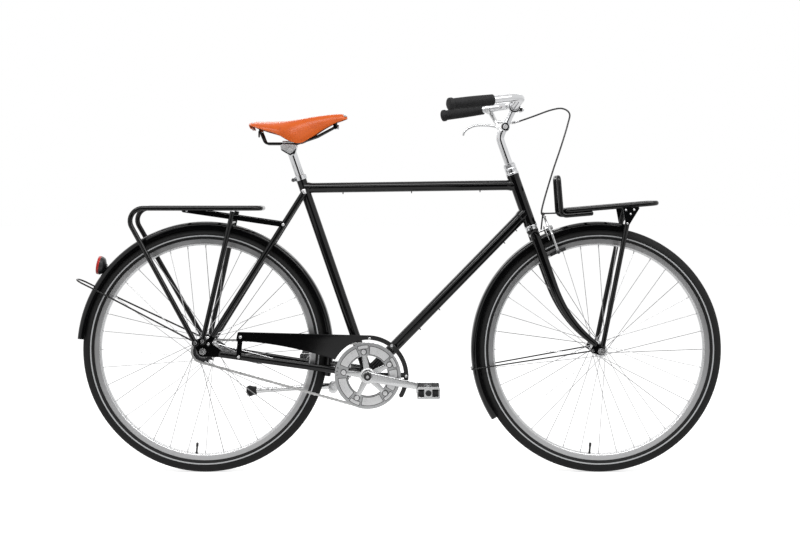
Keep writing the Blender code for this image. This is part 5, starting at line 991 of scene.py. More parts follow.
def reflector():
    base, out = at(-824.4, 0, 579.8), Vector((-0.9863, 0, 0.1650))
    shell = [(0, 0.2), (6.8, 0.2), (7, 2), (9, 3.4), (19, 7), (22.2, 9.5), (25.2, 15.5), (26, 16.5)]
    shell += [(26, 18.6), (25.2, 19), (0, 19)]
    piece = turned("reflector_shell", shell, base, out)
    fitted(piece, plastic, "frame", "black_plastic", "reflector_housing")
    lens = [(0, 19.1), (25.6, 19.1), (26, 19.6), (26, 25.2), (25.2, 26.2), (19, 26.8), (10, 27.1), (0, 27.2)]
    fitted(turned("round_red_reflector", lens, base, out), lens_red, "frame", "red_lens", "reflector_lens")


# Racks


def rack_foot(place, hand):
    """The flattened end of a rack leg and its spacer."""
    pad = crossbar("foot", place, 10, 28, hand * 75.2, hand * 81, 1.2)
    return [pad, crossbar("spacer", place, 6, 20, hand * 60.6, hand * 75.2)]


def rear_rack():
    foot = at(-567.2, -RACK_FOOT_Y, 378.1)
    corner, nose = at(-773.9, -REAR_RACK_HALF, 745), at(-386.9, -REAR_RACK_HALF, 745)
    leg = rounded([foot, corner, nose], 35, 10)
    front = rounded([corner, nose, at(nose.x, -nose.y, nose.z)], 22, 10)
    pieces = [round_ended("rail", carried_over([*leg[:-1], *front[1:-1]]), RACK_TUBE)]
    for i in range(4):
        pieces.append(crossbar("bar", at(-696.9 + 96 * i, 0, nose.z), RACK_BAR, 20, REAR_RACK_HALF))
    stay_end = at(-323.1, 0, 699)
    stay = around((at(-600.9, 0, 740), 7), (stay_end, 7))
    for hand in HANDS:
        pieces += rack_foot(RACK_EYELETS[0], hand)
        pieces.append(stamped("stay", [stay], 3, hand * 42.8, 0.6))
    fitted(joined("rear_rack_tubes", pieces), paint, "frame", "paint", "rear_rack")
    pieces = []
    for hand in HANDS:
        leg = route(hand, (-542.2, RACK_FOOT_Y, 383.3), (-463.4, REAR_RACK_HALF, 735.9))
        pieces.append(tube("leg", leg, RACK_TUBE))
        pieces += rack_foot(RACK_EYELETS[1], hand)
    pieces.append(crossbar("brace", at(-470.2, 0, 705.3), RACK_BAR, 20, 54.5))
    fitted(joined("rack_front_legs", pieces), paint, "frame", "paint", "rear_rack_front_legs")
    bolts = []
    for hand in HANDS:
        out = ACROSS * hand
        bolts += [socket_bolt("bolt", eyelet + out * 81.1, out, 5.2, 4) for eyelet in RACK_EYELETS]
        bolts.append(dome("bolt", stay_end + out * 44.3, out, 4.8, 3))
        bolts.append(dome("bolt", at(-593, 0, 738.8) + out * 44.3, out, 4.2, 2.5))
    fitted(joined("rack_bolts", bolts), bright_steel, "frame", "steel")


def front_rack():
    back, ahead = at(463, -FRONT_RACK_HALF, 737.5), at(722, -FRONT_RACK_HALF, 759.7)
    pieces = [tube("rail", rounded(carried_over([back, ahead]), 20, 10, True), RACK_TUBE, closed=True)]
    for share in (0.25, 0.5, 0.75):
        pieces.append(crossbar("bar", back.lerp(ahead, share), RACK_BAR, 20, FRONT_RACK_HALF))
    hoop = route(-1, (538.7, 53, 731), (455, 53, 723.8), (447, 46, 831.5))
    pieces.append(round_ended("hoop", rounded(carried_over(hoop), 14, 8), 6.5))
    rod = route(1, (527.7, 0, 743.1), (527.7, 0, 733.1), (407.7, 0, 729.6), (402.6, 0, 684.2))
    pieces.append(tube("rod", rounded(rod, 4), 2.2, sides=12))
    fitted(joined("front_rack_tubes", pieces), paint, "steering", "paint", "front_rack")
    pieces, bolts = [], []
    for hand in HANDS:
        low, high = route(hand, (568.1, 61.5, 361.5), (645.9, 53, 743.7))
        way = (high - low).normalized()
        pieces.append(round_ended("strut", [low, high], 6.85, last=False))
        eye = around((FRONT_AXLE, 10), (low + way * 7, 6.2))
        pieces.append(stamped("eye", [eye, ring_of(FRONT_AXLE, 5)], 3, hand * 56.1, 0.5))
        top = flat(high - way * 4)
        head = around((top + at(-17, 0, 3), 4), (top + at(21, 0, 5.5), 4), (top - way * 38, 6))
        pieces.append(stamped("head", [head], 2.5, hand * 61.2, 0.5))
        for x, z in ((-12.5, 0.5), (10.5, 1), (0.5, -10.5), (-8, -37)):
            bolts.append(dome("bolt", top + at(x, 62.5 * hand, z), ACROSS * hand, 3.3, 2.2))
    pieces.append(crossbar("brace", at(642.3, 0, 726.3), RACK_BAR, 20, FRONT_RACK_HALF))
    fitted(joined("front_rack_legs", pieces), paint, "steering", "paint", "front_rack_struts")
    fitted(joined("front_rack_bolts", bolts), bright_steel, "steering", "steel")


# Drive


def chain_course():
    """The chain's pitch line, clockwise from the top of the chainring."""
    line = CRANK_AXLE - REAR_AXLE
    lean = math.degrees(math.atan2(line.z, line.x))
    wrap = math.degrees(math.acos((SPROCKET_PITCH_RADIUS - RING_PITCH_RADIUS) / line.length))
    course = [about(CRANK_AXLE, lean + wrap - i * wrap / 60, RING_PITCH_RADIUS) for i in range(121)]
    back = 360 - 2 * wrap
    return course + [about(REAR_AXLE, lean - wrap - i * back / 60, SPROCKET_PITCH_RADIUS) for i in range(61)]


def pins_along(course):
    """Evenly spaced places round the closed course, about a link's pitch apart and even in number."""
    closed = [*course, course[0]]
    runs = [(b - a).length for a, b in zip(closed, closed[1:])]
    count = round(sum(runs) / CHAIN_PITCH / 2) * 2
    step = sum(runs) / count
    places, left, i = [], 0.0, 0
    for n in range(count):
        while left + runs[i] < n * step:
            left += runs[i]
            i += 1
        places.append(closed[i].lerp(closed[i + 1], (n * step - left) / runs[i]))
    return places


def link(name, gap, thickness):
    """A pair of waisted side plates at the origin, pitched along X, with their pins."""
    half = CHAIN_PITCH / 2
    outline = [about(AHEAD * half, angle, 4.1) for angle in (-80, -40, 0, 40, 80)]
    outline += route(1, (half * 0.45, 0, 3.1), (0, 0, 2.6), (-half * 0.45, 0, 3.1))
    outline += [-place for place in outline]
    pieces = [stamped("plate", [outline], thickness, hand * gap) for hand in HANDS]
    pieces += [crossbar("pin", AHEAD * x, 1.7, 8, gap + 1.1, edge=0.2) for x in (-half, half)]
    return joined(name, pieces)


def chain():
    pins = pins_along(chain_course())
    outer, inner = link("outer_link", 2.8, 1), link("inner_link", 1.8, 0.9)
    roller = crossbar("roller", ORIGIN, 3.8, 12, 1.4, edge=0.2)
    line = ACROSS * CHAINLINE
    links = []
    for i, (a, b) in enumerate(zip(pins, [*pins[1:], pins[0]])):
        turn = turn_about(ORIGIN, math.degrees(math.atan2(b.z - a.z, b.x - a.x)))
        links.append(copied(inner if i % 2 else outer, shift((a + b) / 2 - line) @ turn))
        links.append(copied(roller, shift(a - line)))
    for pattern in (outer, inner, roller):
        bpy.data.objects.remove(pattern)
    fitted(joined("roller_chain", links), chain_steel, "frame", "steel", "chain")


def arc_window(start, end, near, far, steps=10):
    """A window between two radii of the crank axle, with its corners cut off."""
    low, high = near + 1.2, far - 1.2
    sweep = [start + (end - start) * i / steps for i in range(steps + 1)]
    course = [(start - 0.9, low), (start - 0.9, high), *((angle, far) for angle in sweep)]
    course += [(end + 0.9, high), (end + 0.9, low), *((angle, near) for angle in reversed(sweep))]
    return [about(CRANK_AXLE, angle, radius) for angle, radius in course]


def ring_plates(name, look, wide, narrow, thickness, y, edge):
    """Plates between the arms and smaller ones outside them, each by its half sweep and its two radii."""
    half, near, far = wide
    outlines = [arc_window(angle + 36 - half, angle + 36 + half, near, far) for angle in RING_BOLT_ANGLES]
    half, near, far = narrow
    bare = [angle for angle in RING_BOLT_ANGLES if angle != RING_HOLES_ANGLE]
    outlines += [arc_window(angle - half, angle + half, near, far) for angle in bare]
    pieces = [stamped("plate", [outline], thickness, y, edge) for outline in outlines]
    fitted(joined(name, pieces), look, "crank", "aluminium")


def chainring():
    outline = tooth_outline(CRANK_AXLE, RING_TEETH, RING_PITCH_RADIUS)
    holes = [ring_of(about(CRANK_AXLE, 160 + 11 * i, 80.5), 1.6, 12) for i in range(3)]
    piece = stamped("teeth", [outline, ring_of(CRANK_AXLE, 56, 96), *holes], 2.4, -CHAINLINE, 0.4)
    fitted(piece, dark_steel, "crank", "aluminium", "chainring")
    outlines = [ring_of(CRANK_AXLE, 92.5, 120), ring_of(CRANK_AXLE, 57, 96)]
    outlines += [ring_of(about(CRANK_AXLE, RING_HOLES_ANGLE + 6.5 * i, 86.5), 1.9, 14) for i in (-1, 0, 1)]
    fitted(stamped("trouser_guard_disc", outlines, 1.6, -50.1, 0.5), ring_steel, "crank", "aluminium")
    ring_plates("embossed_ring_panels", panel_alloy, (21, 60.5, 82.5), (9, 76.5, 85.5), 1, -51, 0.4)
    ring_plates("ring_panel_edges", dark_steel, (22.2, 58.9, 84.1), (10, 75, 86.8), 0.8, -50.8, 0.3)
    pieces = []
    for angle in RING_BOLT_ANGLES:
        arm = around((about(CRANK_AXLE, angle, 20), 8.6), (about(CRANK_AXLE, angle, RING_BOLT_CIRCLE), 6))
        pieces.append(stamped("arm", [arm], 4.2, -52.5, 1.3))
    hub = [(0, 46.8), (21, 46.8), (22.2, 48), (22.2, 53), (20.5, 55.2), (16, 56.5), (0, 56.5)]
    pieces.append(turned("hub", hub, CRANK_AXLE, -ACROSS, 40))
    fitted(joined("five_arm_spider", pieces), alloy, "crank", "aluminium")
    places = [about(CRANK_AXLE, angle, RING_BOLT_CIRCLE, -54.8) for angle in RING_BOLT_ANGLES]
    washers = [crossbar("washer", place, 8.6, 24, -55, -54, 0.3) for place in places]
    fitted(joined("chainring_washers", washers), dark_steel, "crank", "aluminium")
    bolts = [socket_bolt("bolt", place, -ACROSS, 6.6, 3) for place in places]
    fitted(joined("chainring_bolts", bolts), panel_alloy, "crank", "aluminium")


def crank_tip(hand):
    return about(CRANK_AXLE, CRANK_ANGLE + 90 * (1 + hand), CRANK_LENGTH)


def crank_arm(name, hand, node):
    """A forged arm: a thick tapered bar with a boss at its root and its eye round the pedal axle."""
    tip, out = crank_tip(hand), ACROSS * hand
    pieces = [stamped("arm", [around((CRANK_AXLE, 14), (tip, 8.8), steps=36)], 13, hand * CRANK_ARM_Y, 3.2)]
    boss = [(0, 46.8), (13.8, 46.8), (14.4, 47.5), (14.4, 73.5), (13.4, 75.2), (10.5, 75.5), (10, 74.8)]
    pieces.append(turned("boss", [*boss, (0, 74.8)], CRANK_AXLE, out, 40))
    pieces.append(crossbar("eye", tip, 12.2, 36, hand * 60.5, hand * 74.5, 1.2))
    fitted(joined(name, pieces), alloy, "crank", "aluminium", node)
    cap = [(0, 75.4), (3, 75.4), (3.4, 76.4), (9, 76.4), (9.8, 75.8), (10, 74.5)]
    fitted(turned(f"{name}_dust_cap", cap, CRANK_AXLE, out, 32), plastic, "crank", "black_plastic")
    bolt = hex_nut(f"{name}_bolt", CRANK_AXLE + out * 75.2, out, 4.5, 2.4)
    fitted(bolt, bright_steel, "crank", "steel")
    axle = crossbar("axle", tip, 5, 20, hand * 74, hand * 169)
    collar = sleeve("flats", tip, out, 5, 7.4, 74.4, 78)
    fitted(joined(f"{name}_pedal_axle", [axle, collar]), bright_steel, "crank", "steel")


def corners_round(centre, x, z):
    """The four corners of a side-view rectangle, by half its sizes."""
    return [centre + at(i * x, 0, k * z) for i in HANDS for k in HANDS]


def pedal(name, hand):
    """Two pressed end plates and a barrel, with ribbed rubber blocks bolted between the plates."""
    tip, out = crank_tip(hand), ACROSS * hand
    body = f"pedal_{name}"
    plate = around(*((place, 5.5) for place in corners_round(tip, 26.5, 11)))
    windows = []
    for x in (-19, 19):
        windows.append(around(*((place, 2.4) for place in corners_round(tip + AHEAD * x, 6.2, 7.8))))
    pieces = [stamped("plate", [plate, *windows], 2.4, hand * 171, 0.6)]
    pieces.append(stamped("plate", [plate, ring_of(tip, 5.6)], 2.4, hand * 81, 0.6))
    barrel = [(5.4, 79), (8.8, 79), (9.4, 79.6), (9.4, 86), (8, 88), (8, 164), (9.4, 166), (9.4, 169)]
    pieces.append(turned("barrel", [*barrel, (5.4, 169)], tip, out, 32))
    fitted(joined(f"{body}_plates", pieces), alloy, body, "aluminium", f"{body}_cage")
    cap = [(0, 173.8), (7, 173.8), (8, 173), (8.8, 171.6), (8.8, 169), (0, 169)]
    fitted(turned(f"{body}_cap", cap, tip, out, 32), plastic, body, "black_plastic")
    pieces = []
    middle = tip + out * PEDAL_MIDDLE_Y
    for place in corners_round(middle, 20, 9.5):
        pieces.append(block("rubber", place, (18.5, 87.2, 9.2), 1.6))
        face = place.z + math.copysign(5, place.z - tip.z)
        for i in range(9):
            rib = at(place.x, hand * (88 + 9.5 * i), face)
            pieces.append(block("rib", rib, (17.5, 4.8, 3), 0.8))
    pieces += [block("web", middle + AHEAD * x, (10, 87.2, 20)) for x in (-20, 20)]
    fitted(joined(f"{body}_rubber_blocks", pieces), block_rubber, body, "rubber", f"{body}_tread")
    bolts = [dome("bolt", place, out, 2.4, 1.4) for place in corners_round(tip + out * 172.2, 28.5, 12.5)]
    fitted(joined(f"{body}_bolts", bolts), bright_steel, body, "steel")


def chain_guard():
    inner, outer = 102.3, 112.8
    high, low, back = 91.7, -31, 153
    rear_top, rear_low = at(-447.7, 0, 399.3), at(-452.7, 0, 376.3)
    outline = [rear_top + AHEAD * 1.5]
    outline += [about(CRANK_AXLE, high - i * (high - low) / 60, outer) for i in range(61)]
    outline.append(about(about(CRANK_AXLE, low, (inner + outer) / 2), low - 90, 4))
    outline += [about(CRANK_AXLE, low + i * (back - low) / 70, inner) for i in range(71)]
    start = about(CRANK_AXLE, back, inner)
    for i in range(1, 12):
        outline.append(start.lerp(rear_low, i / 12) + UPWARD * 9.8 * math.sin(math.pi * i / 12) ** 0.8)
    outline += [rear_low + AHEAD * 1.5, rear_low + at(0.2, 0, 1.5), rear_top - at(0.8, 0, 2)]
    pieces = [stamped("sheet", [outline], 1.6, -54.75, 0.4)]
    edge = [place - ACROSS * 55 for place in outline]
    pieces.append(tube("rolled_edge", edge, 1.1, sides=8, closed=True))
    ring = around((CRANK_AXLE, 20), (CRANK_AXLE + AHEAD * 30, 7), steps=32)
    pieces.append(stamped("collar", [ring, ring_of(CRANK_AXLE, 17)], 2, -35.3, 0.4))
    post_at = CRANK_AXLE + AHEAD * 107.5
    arm = around((CRANK_AXLE + AHEAD * 28.5, 7), (post_at, 7))
    pieces.append(stamped("arm", [arm], 1.8, -35.3, 0.4))
    pieces.append(crossbar("post", post_at, 4.7, 20, -36.2, -54.8))
    rivet_at, strap_foot = at(-440.7, 0, 386.3), at(-445.7, 0, 331)
    pieces.append(stamped("strap", [around((rivet_at, 7), (strap_foot, 7))], 1.5, -61.4, 0.4))
    pieces.append(crossbar("post", rivet_at, 4.5, 20, -54.2, -61.4))
    fitted(joined("chain_guard_plate", pieces), paint, "frame", "paint", "chain_guard")
    heads = ((at(-81.2, 0, 381.5), 55.6, 4.2, 1.8), (at(-19.5, 0, 361.5), 55.6, 4.2, 1.8))
    heads += ((rivet_at, 62.2, 4.8, 2.6), (strap_foot, 62.2, 4.4, 2.4), (post_at, 55.6, 4.2, 2))
    rivets = [dome("rivet", place - ACROSS * y, -ACROSS, wide, tall) for place, y, wide, tall in heads]
    fitted(joined("guard_rivets", rivets), bright_steel, "frame", "steel")


def kickstand():
    place = at(-149.7, 3, 271.2)
    pieces = [block("plate", place, (30, 74, 6), 1.4)]
    pivot = at(-187, 36, 234)
    arm = around((at(place.x, 0, 265.2), 11), (pivot, 11))
    pieces.append(stamped("arm", [arm], 12, 24, 1.6))
    outward = Vector((0, 0.9272, 0.3746))
    boss = [(0, -15), (12, -15), (13, -14), (13, -1), (12.4, -0.4), (0, -0.4)]
    pieces.append(turned("boss", boss, pivot, outward, 36))
    fitted(joined("stand_holder", pieces), alloy, "frame", "aluminium", "kickstand_bracket")
    plate = block("stand_upper_plate", place + UPWARD * 24.5, (28, 60, 4), 1.2)
    fitted(plate, alloy, "frame", "aluminium")
    under = place - UPWARD * 3
    pieces = [hex_nut("bolt", under, -UPWARD, 8.5, 6), sleeve("shank", under, UPWARD, 0, 4.5, 0, 31, 16)]
    pieces.append(dome("nut", place + UPWARD * 26.5, UPWARD, 7.5, 4))
    fitted(joined("stand_clamp_bolts", pieces), bright_steel, "frame", "steel")
    start, foot = at(-187, 44.8, 237.6), at(-421.7, 60, 220)
    way = (foot - start).normalized()
    path = [start, start + way * 30, start + way * 60, foot + way * 8]
    boss = [(0, 0.4), (12.4, 0.4), (13, 1.2), (13, 13), (11.2, 15), (0, 15)]
    pieces = [tube("leg", path, 8, [1.22, 1.12, 1, 1], 28), turned("boss", boss, pivot, outward, 36)]
    fitted(joined("stand_leg", pieces), alloy, "kickstand", "aluminium", "kickstand_leg")
    cap = dome("stand_pivot_bolt", pivot + outward * 14.8, outward, 6.2, 3.5)
    fitted(cap, bright_steel, "kickstand", "steel")
    shape = [(8.2, -0.2), (11.4, 0), (12.2, 1.4), (12.4, 8), (14.2, 13), (15.6, 18), (15.6, 21.5), (14, 25)]
    shape += [(12.8, 27.2), (11, 28), (0, 28)]
    piece = turned("stand_foot", shape, foot - way * 14, way, 28)
    fitted(piece, block_rubber, "kickstand", "rubber", "kickstand_foot")


# Fork and bars


def fork():
    oval = 0.68
    stations = ((382, 53.7, 670.3, 1), (405.6, 58.4, 603.7, 1), (427.6, 62.7, 541.5, 0.9255))
    stations += ((438.4, 64.8, 512.9, 0.879), (451.1, 66.8, 484.9, 0.8325), (466.1, 68.8, 457.8, 0.786))
    stations += ((483.9, 70.8, 431.6, 0.7395), (504.7, 72.9, 406.5, 0.693), (528.9, 74.9, 382.7, 0.6465))
    stations += ((550, 76.5, 365.5, 0.605),)
    shares = []
    for (*_, share), (*_, after) in zip(stations, stations[1:]):
        shares += [share + (after - share) * i / 5 for i in range(5)]
    shares.append(stations[-1][3])
    dropout = around((at(550, 0, 364), 6.2), (FRONT_AXLE, 12), (at(541.3, 0, 348), 6))
    pieces = []
    for hand in HANDS:
        path = flowing(route(hand, *(station[:3] for station in stations)), 5)
        pieces.append(narrowed(round_ended("blade", path, FORK_BLADE_RADIUS, 32, shares), oval))
        pieces.append(stamped("dropout", [dropout, ring_of(FRONT_AXLE, 5)], 4, hand * 52.3, 0.6))
    pieces.append(crossbar("crown", steer(-28.3), 12.5, 36, 45, edge=3.5))
    race = [(0, -28.3), (13, -28.3), (16.5, -21), (17.2, -18), (17.2, -14), (0, -14)]
    pieces.append(turned("crown_neck", race, HEAD_FOOT, HEAD_UP, 36))
    pieces.append(sleeve("steerer", HEAD_FOOT, HEAD_UP, 0, 12.6, -25, 178, 32))
    fitted(joined("raked_fork", pieces), paint, "steering", "paint", "fork")


def stem():
    knuckle = steer(285.5, 24.6)
    neck = [steer(143), steer(200), steer(248), steer(262, 2.5), steer(274.5, 11.5), knuckle]
    pieces = [tube("quill", flowing(neck), BAR_RADIUS, sides=32)]
    pieces.append(crossbar("knuckle", knuckle, 13, 36, 15, edge=2.2))
    arm = [knuckle, knuckle.lerp(BAR_CLAMP, 0.5), BAR_CLAMP]
    pieces.append(tube("arm", arm, 9.5, [1.12, 1, 1.12], 28))
    clamp = matched([(11.3, -21), (15.8, -21), (16.5, -20.3)])
    pieces.append(turned("clamp", clamp, BAR_CLAMP, ACROSS, 40))
    below = (knuckle - BAR_CLAMP).cross(ACROSS).normalized()
    pieces.append(block("lug", BAR_CLAMP + below * 18.5, (14, 36, 13), 2))
    fitted(joined("polished_stem", pieces), chrome, "steering", "chrome", "stem")
    bolts = [hex_nut("bolt", knuckle + ACROSS * hand * 14.9, ACROSS * hand, 7.2, 4.2) for hand in HANDS]
    bolts += [dome("bolt", BAR_CLAMP + below * 19.5 + at(7, y, 0), AHEAD, 4.2, 3) for y in (-11, 11)]
    fitted(joined("stem_bolts", bolts), panel_alloy, "steering", "steel")


def grip_line(hand):
    """The rear end of the bar and the way along it, on one side."""
    end, way = route(hand, (134.1, 265, 1021.3), (0.9058, -0.4066, 0.1188))
    return end, way.normalized()


def handlebar():
    corners = [grip_line(-1)[0], BAR_CLAMP + at(8.5, -175, 17), BAR_CLAMP - ACROSS * 30]
    path = carried_over(rounded(corners, 60, 12))
    fitted(tube("swept_bar", path, BAR_RADIUS, sides=32), chrome, "steering", "chrome", "handlebar")
    swell = matched([(11.2, -34), (12.2, -33), (12.7, -30)])
    fitted(turned("bar_sleeve", swell, BAR_CLAMP, ACROSS, 32), chrome, "steering", "chrome")
    ribs = 27
    profile = [(0, -4), (11, -4), (14, -3.2), (16.8, -1.4), (17.5, 1), (17.5, 7), (16.8, 8.4), (15.6, 9.8)]
    for i in range(ribs):
        start = 12 + i * 4.2
        radius = 14.2 + 0.7 * math.sin(math.pi * (i + 0.5) / ribs)
        profile += [(radius, start), (radius + 0.7, start + 0.8), (radius + 0.7, start + 2.6)]
        profile.append((radius, start + 3.4))
    profile += [(14.9, 125.8), (15, 128.5), (14.3, 130), (11.2, 130), (11.2, 120), (0, 120)]
    for name, hand in SIDES:
        piece = turned(f"ribbed_grip_{name}", profile, *grip_line(hand), 32)
        fitted(piece, grip_rubber, "steering", "rubber", f"grip_{name}")


def brake_lever():
    band_at, along = at(267.3, 205.2, 1038.8), grip_line(1)[1]
    band = matched([(11.3, -6), (15, -6), (15.8, -5.2)])
    pieces = [turned("band", band, band_at, along, 36)]
    root = at(290, 206.3, 997.1)
    pieces.append(tube("arm", [root, band_at.lerp(root, 0.25)], 7, [0.85, 1.1], 24))
    pivot, axis = at(297.1, 200, 983.6), Vector((0.2069, 0.9249, -0.3190)).normalized()
    lap = at(288.3, 207.8, 1000.4)
    for hand in HANDS:
        ear = pivot + axis * hand * 6.2
        profile = [(0, -1.4), (6, -1.4), (6.5, -0.9), (6.5, 1), (0, 1.4)]
        pieces.append(turned("ear", profile, ear, axis * hand, 24))
        pieces.append(tube("ear_arm", [ear, lap + axis * hand * 5], 1.6, [2.4, 2.8], 12))
    barrel = CABLE_STOP - CABLE_WAY * 12
    pieces.append(tube("barrel_arm", [lap, barrel, barrel + CABLE_WAY * 3], 4, [1.2, 1, 1]))
    fitted(joined("lever_perch", pieces), alloy, "steering", "aluminium", "brake_lever_perch")
    screw = [(0, 0), (4.4, 0), (4.4, 3), (3.3, 3.4), (3.3, 4.6), (4.8, 5), (4.8, 9), (3.8, 10), (3.6, 11.8)]
    pieces = [turned("cable_adjuster", [*screw, (0, 11.8)], barrel, CABLE_WAY, 14)]
    pieces.append(socket_bolt("bolt", pivot + axis * 7.4, axis, 4.5, 3))
    pieces.append(hex_nut("nut", pivot - axis * 7.4, -axis, 4.5, 3))
    fitted(joined("lever_fixings", pieces), bright_steel, "steering", "steel")
    bends = route(1, (272, 208.5, 988.5), (249, 212, 989.7), (226, 214.5, 988), (207, 215.5, 980))
    bends += route(1, (196, 216, 970), (192.5, 216, 960.6))
    path = flowing([pivot, *bends], 5)
    shares = [1 - 0.28 * i / (len(path) - 1) for i in range(len(path))]
    blade = round_ended("blade", path, 4.3, 20, shares, first=False)
    hub = turned("hub", matched([(0, -4.4), (6, -4.4), (6.3, -4)]), pivot, axis, 28)
    fitted(joined("lever_blade", [blade, hub]), alloy, "brake_lever", "aluminium", "brake_lever")


def brake_cable():
    """The housing, by its places from the bar's clamp, and a metal cap on each end."""
    end = at(412.6, 12, 721.7)
    bow = route(1, (72, 185, -16), (121, 160, 1), (152, 132, 4), (170, 108, -12), (163, 88, -43))
    bow += route(1, (141, 62, -107), (109, 36, -195))
    course = [CABLE_STOP, CABLE_STOP + CABLE_WAY * 8, *(BAR_CLAMP + place for place in bow)]
    path = flowing([*course, end + HEAD_UP * 20, end + HEAD_UP * 1.7], 10)
    housing = tube("cable_housing", path, HOUSING_RADIUS, sides=14)
    fitted(housing, plastic, "steering", "black_plastic", "brake_cable")
    cap = [(2.4, 0), (3.2, 0), (3.3, 0.8), (3.3, 9), (2.6, 9.6), (2.4, 9.6)]
    caps = [turned("cap", cap, place, way, 20) for place, way in ((path[0], CABLE_WAY), (path[-1], HEAD_UP))]
    fitted(joined("cable_end_caps", caps), bright_steel, "steering", "steel")


def calliper():
    """Two arms on one bolt ahead of the crown, one behind the other. The right one reaches the cable."""
    pivot_s, shoe_s, clear = -26.1, -95.2, 31
    for (name, hand), ahead in zip(SIDES, (46, 38.2)):
        body, out = f"calliper_{name}", ACROSS * hand
        pivot = steer(pivot_s, ahead)
        course = [(0, 0), (4, 14), (-16, clear), (-46, clear), (shoe_s - pivot_s, clear - 2.5)]
        path = rounded([pivot + HEAD_UP * s + out * y for s, y in course], 6, 5)
        pieces = [round_ended("arm", path, 3.75, 16, first=False)]
        boss = matched([(3.3, -3.7), (8.6, -3.7), (9, -3.3)])
        pieces.append(turned("boss", boss, pivot, HEAD_AHEAD, 28))
        if name == "right":
            top = pivot + HEAD_UP * 32 + ACROSS * 12
            lift = [pivot, pivot + HEAD_UP * 18 + ACROSS * 11, top]
            pieces.append(tube("lift", rounded(lift, 6, 5), 3.4, sides=14))
            collar = [(0, 0), (4.6, 0), (5, 0.6), (5, 3.6), (4, 4), (0, 4)]
            pieces.append(turned("collar", collar, top, HEAD_UP, 16))
        fitted(joined(f"brake_arm_{name}", pieces), alloy, body, "aluminium", f"calliper_arm_{name}")
        shoe = steer(shoe_s, ahead)
        pieces = [crossbar("stud", shoe, 3.6, 16, hand * 24, hand * 34.5)]
        pieces.append(crossbar("washer", shoe, 6.2, 20, hand * 32.5, hand * 34, 0.3))
        pieces.append(hex_nut("nut", shoe + out * 34, out, 5.2, 3.6))
        fitted(joined(f"shoe_bolt_{name}", pieces), bright_steel, body, "steel")
        away = shoe - FRONT_AXLE
        middle = math.degrees(math.atan2(away.z, away.x))
        sweep = [middle - 4.5 + i * 0.75 for i in range(13)]
        pad = [about(FRONT_AXLE, angle, 305) for angle in sweep]
        pad += [about(FRONT_AXLE, angle, 296) for angle in reversed(sweep)]
        back = around(*((about(FRONT_AXLE, middle + turn, 300.5), 3.8) for turn in (-3, 0, 3)))
        pieces = [stamped("pad", [pad], 9, hand * 18.85, 1.2)]
        pieces.append(stamped("back", [back], 2.2, hand * 24.3, 0.5))
        fitted(joined(f"shoe_block_{name}", pieces), block_rubber, body, "rubber", f"brake_shoe_{name}")
    centre = steer(pivot_s)
    washer = [(3.1, 50), (7.4, 50), (7.8, 50.4), (7.4, 51), (3.1, 51)]
    pieces = [sleeve("shank", centre, HEAD_AHEAD, 0, 3, 12.2, 50.5, 16)]
    pieces.append(turned("washer", washer, centre, HEAD_AHEAD, 24))
    pieces.append(hex_nut("nut", centre + HEAD_AHEAD * 51, HEAD_AHEAD, 6.8, 5))
    pieces.append(dome("cap", centre + HEAD_AHEAD * 55.5, HEAD_AHEAD, 4, 1.8))
    fitted(joined("brake_centre_bolt", pieces), bright_steel, "steering", "steel", "calliper_bolt")
    half = [steer(pivot_s + s, 33.5, y) for s, y in ((-30, 26.8), (-12, 25.5), (6, 12), (11, 0))]
    spring = tube("return_spring", rounded(carried_over(half), 5, 5), 1.2, sides=8)
    fitted(spring, bright_steel, "steering", "steel")


# Seat

SADDLE_BACK = -415.9
SADDLE_LENGTH = 272
SADDLE_HALF = 82
SADDLE_HEIGHT = 83.5
SADDLE_ROLL = 0.09
LEATHER_THICKNESS = 4.2
RAILS_Z = 926.6
SADDLE_STATIONS = (
    (0.00, 0.707, 0.683, 0.599), (0.03, 0.902, 0.725, 0.563), (0.15, 1.000, 0.743, 0.437),
    (0.30, 0.890, 0.754, 0.287), (0.42, 0.610, 0.790, 0.072), (0.52, 0.463, 0.838, 0.012),
    (0.62, 0.366, 0.898, 0.180), (0.75, 0.293, 0.958, 0.467), (0.88, 0.244, 1.000, 0.695),
    (0.96, 0.220, 0.994, 0.790), (1.00, 0.159, 0.910, 0.838),
)


def saddle_section(share):
    """The half width, the crown's height and the skirt's at a share of the saddle's length."""
    rows = [SADDLE_STATIONS[0], *SADDLE_STATIONS, SADDLE_STATIONS[-1]]
    last = len(rows) - 3
    i = next(i for i in range(1, last + 1) if share <= rows[i + 1][0] or i == last)
    a, b, c, d = rows[i - 1 : i + 3]
    t = (share - b[0]) / (c[0] - b[0])
    before = (c[0] - b[0]) / max(c[0] - a[0], 0.001)
    after = (c[0] - b[0]) / max(d[0] - b[0], 0.001)
    values = []
    for k in (1, 2, 3):
        start = (c[k] - a[k]) * before * (t**3 - 2 * t**2 + t)
        end = (d[k] - b[k]) * after * (t**3 - t**2)
        values.append(b[k] * (2 * t**3 - 3 * t**2 + 1) + c[k] * (3 * t**2 - 2 * t**3) + start + end)
    return values


def on_saddle(share, bend):
    """A place on the leather: a share of the length from the back, and an angle round from the crown."""
    wide, crown, skirt = saddle_section(share)
    fall = (crown - skirt) * (1 - math.cos(bend)) ** 1.15
    y = SADDLE_HALF * wide * math.sin(bend)
    return at(SADDLE_BACK + SADDLE_LENGTH * share, y, RAILS_Z + SADDLE_HEIGHT * (crown - fall))


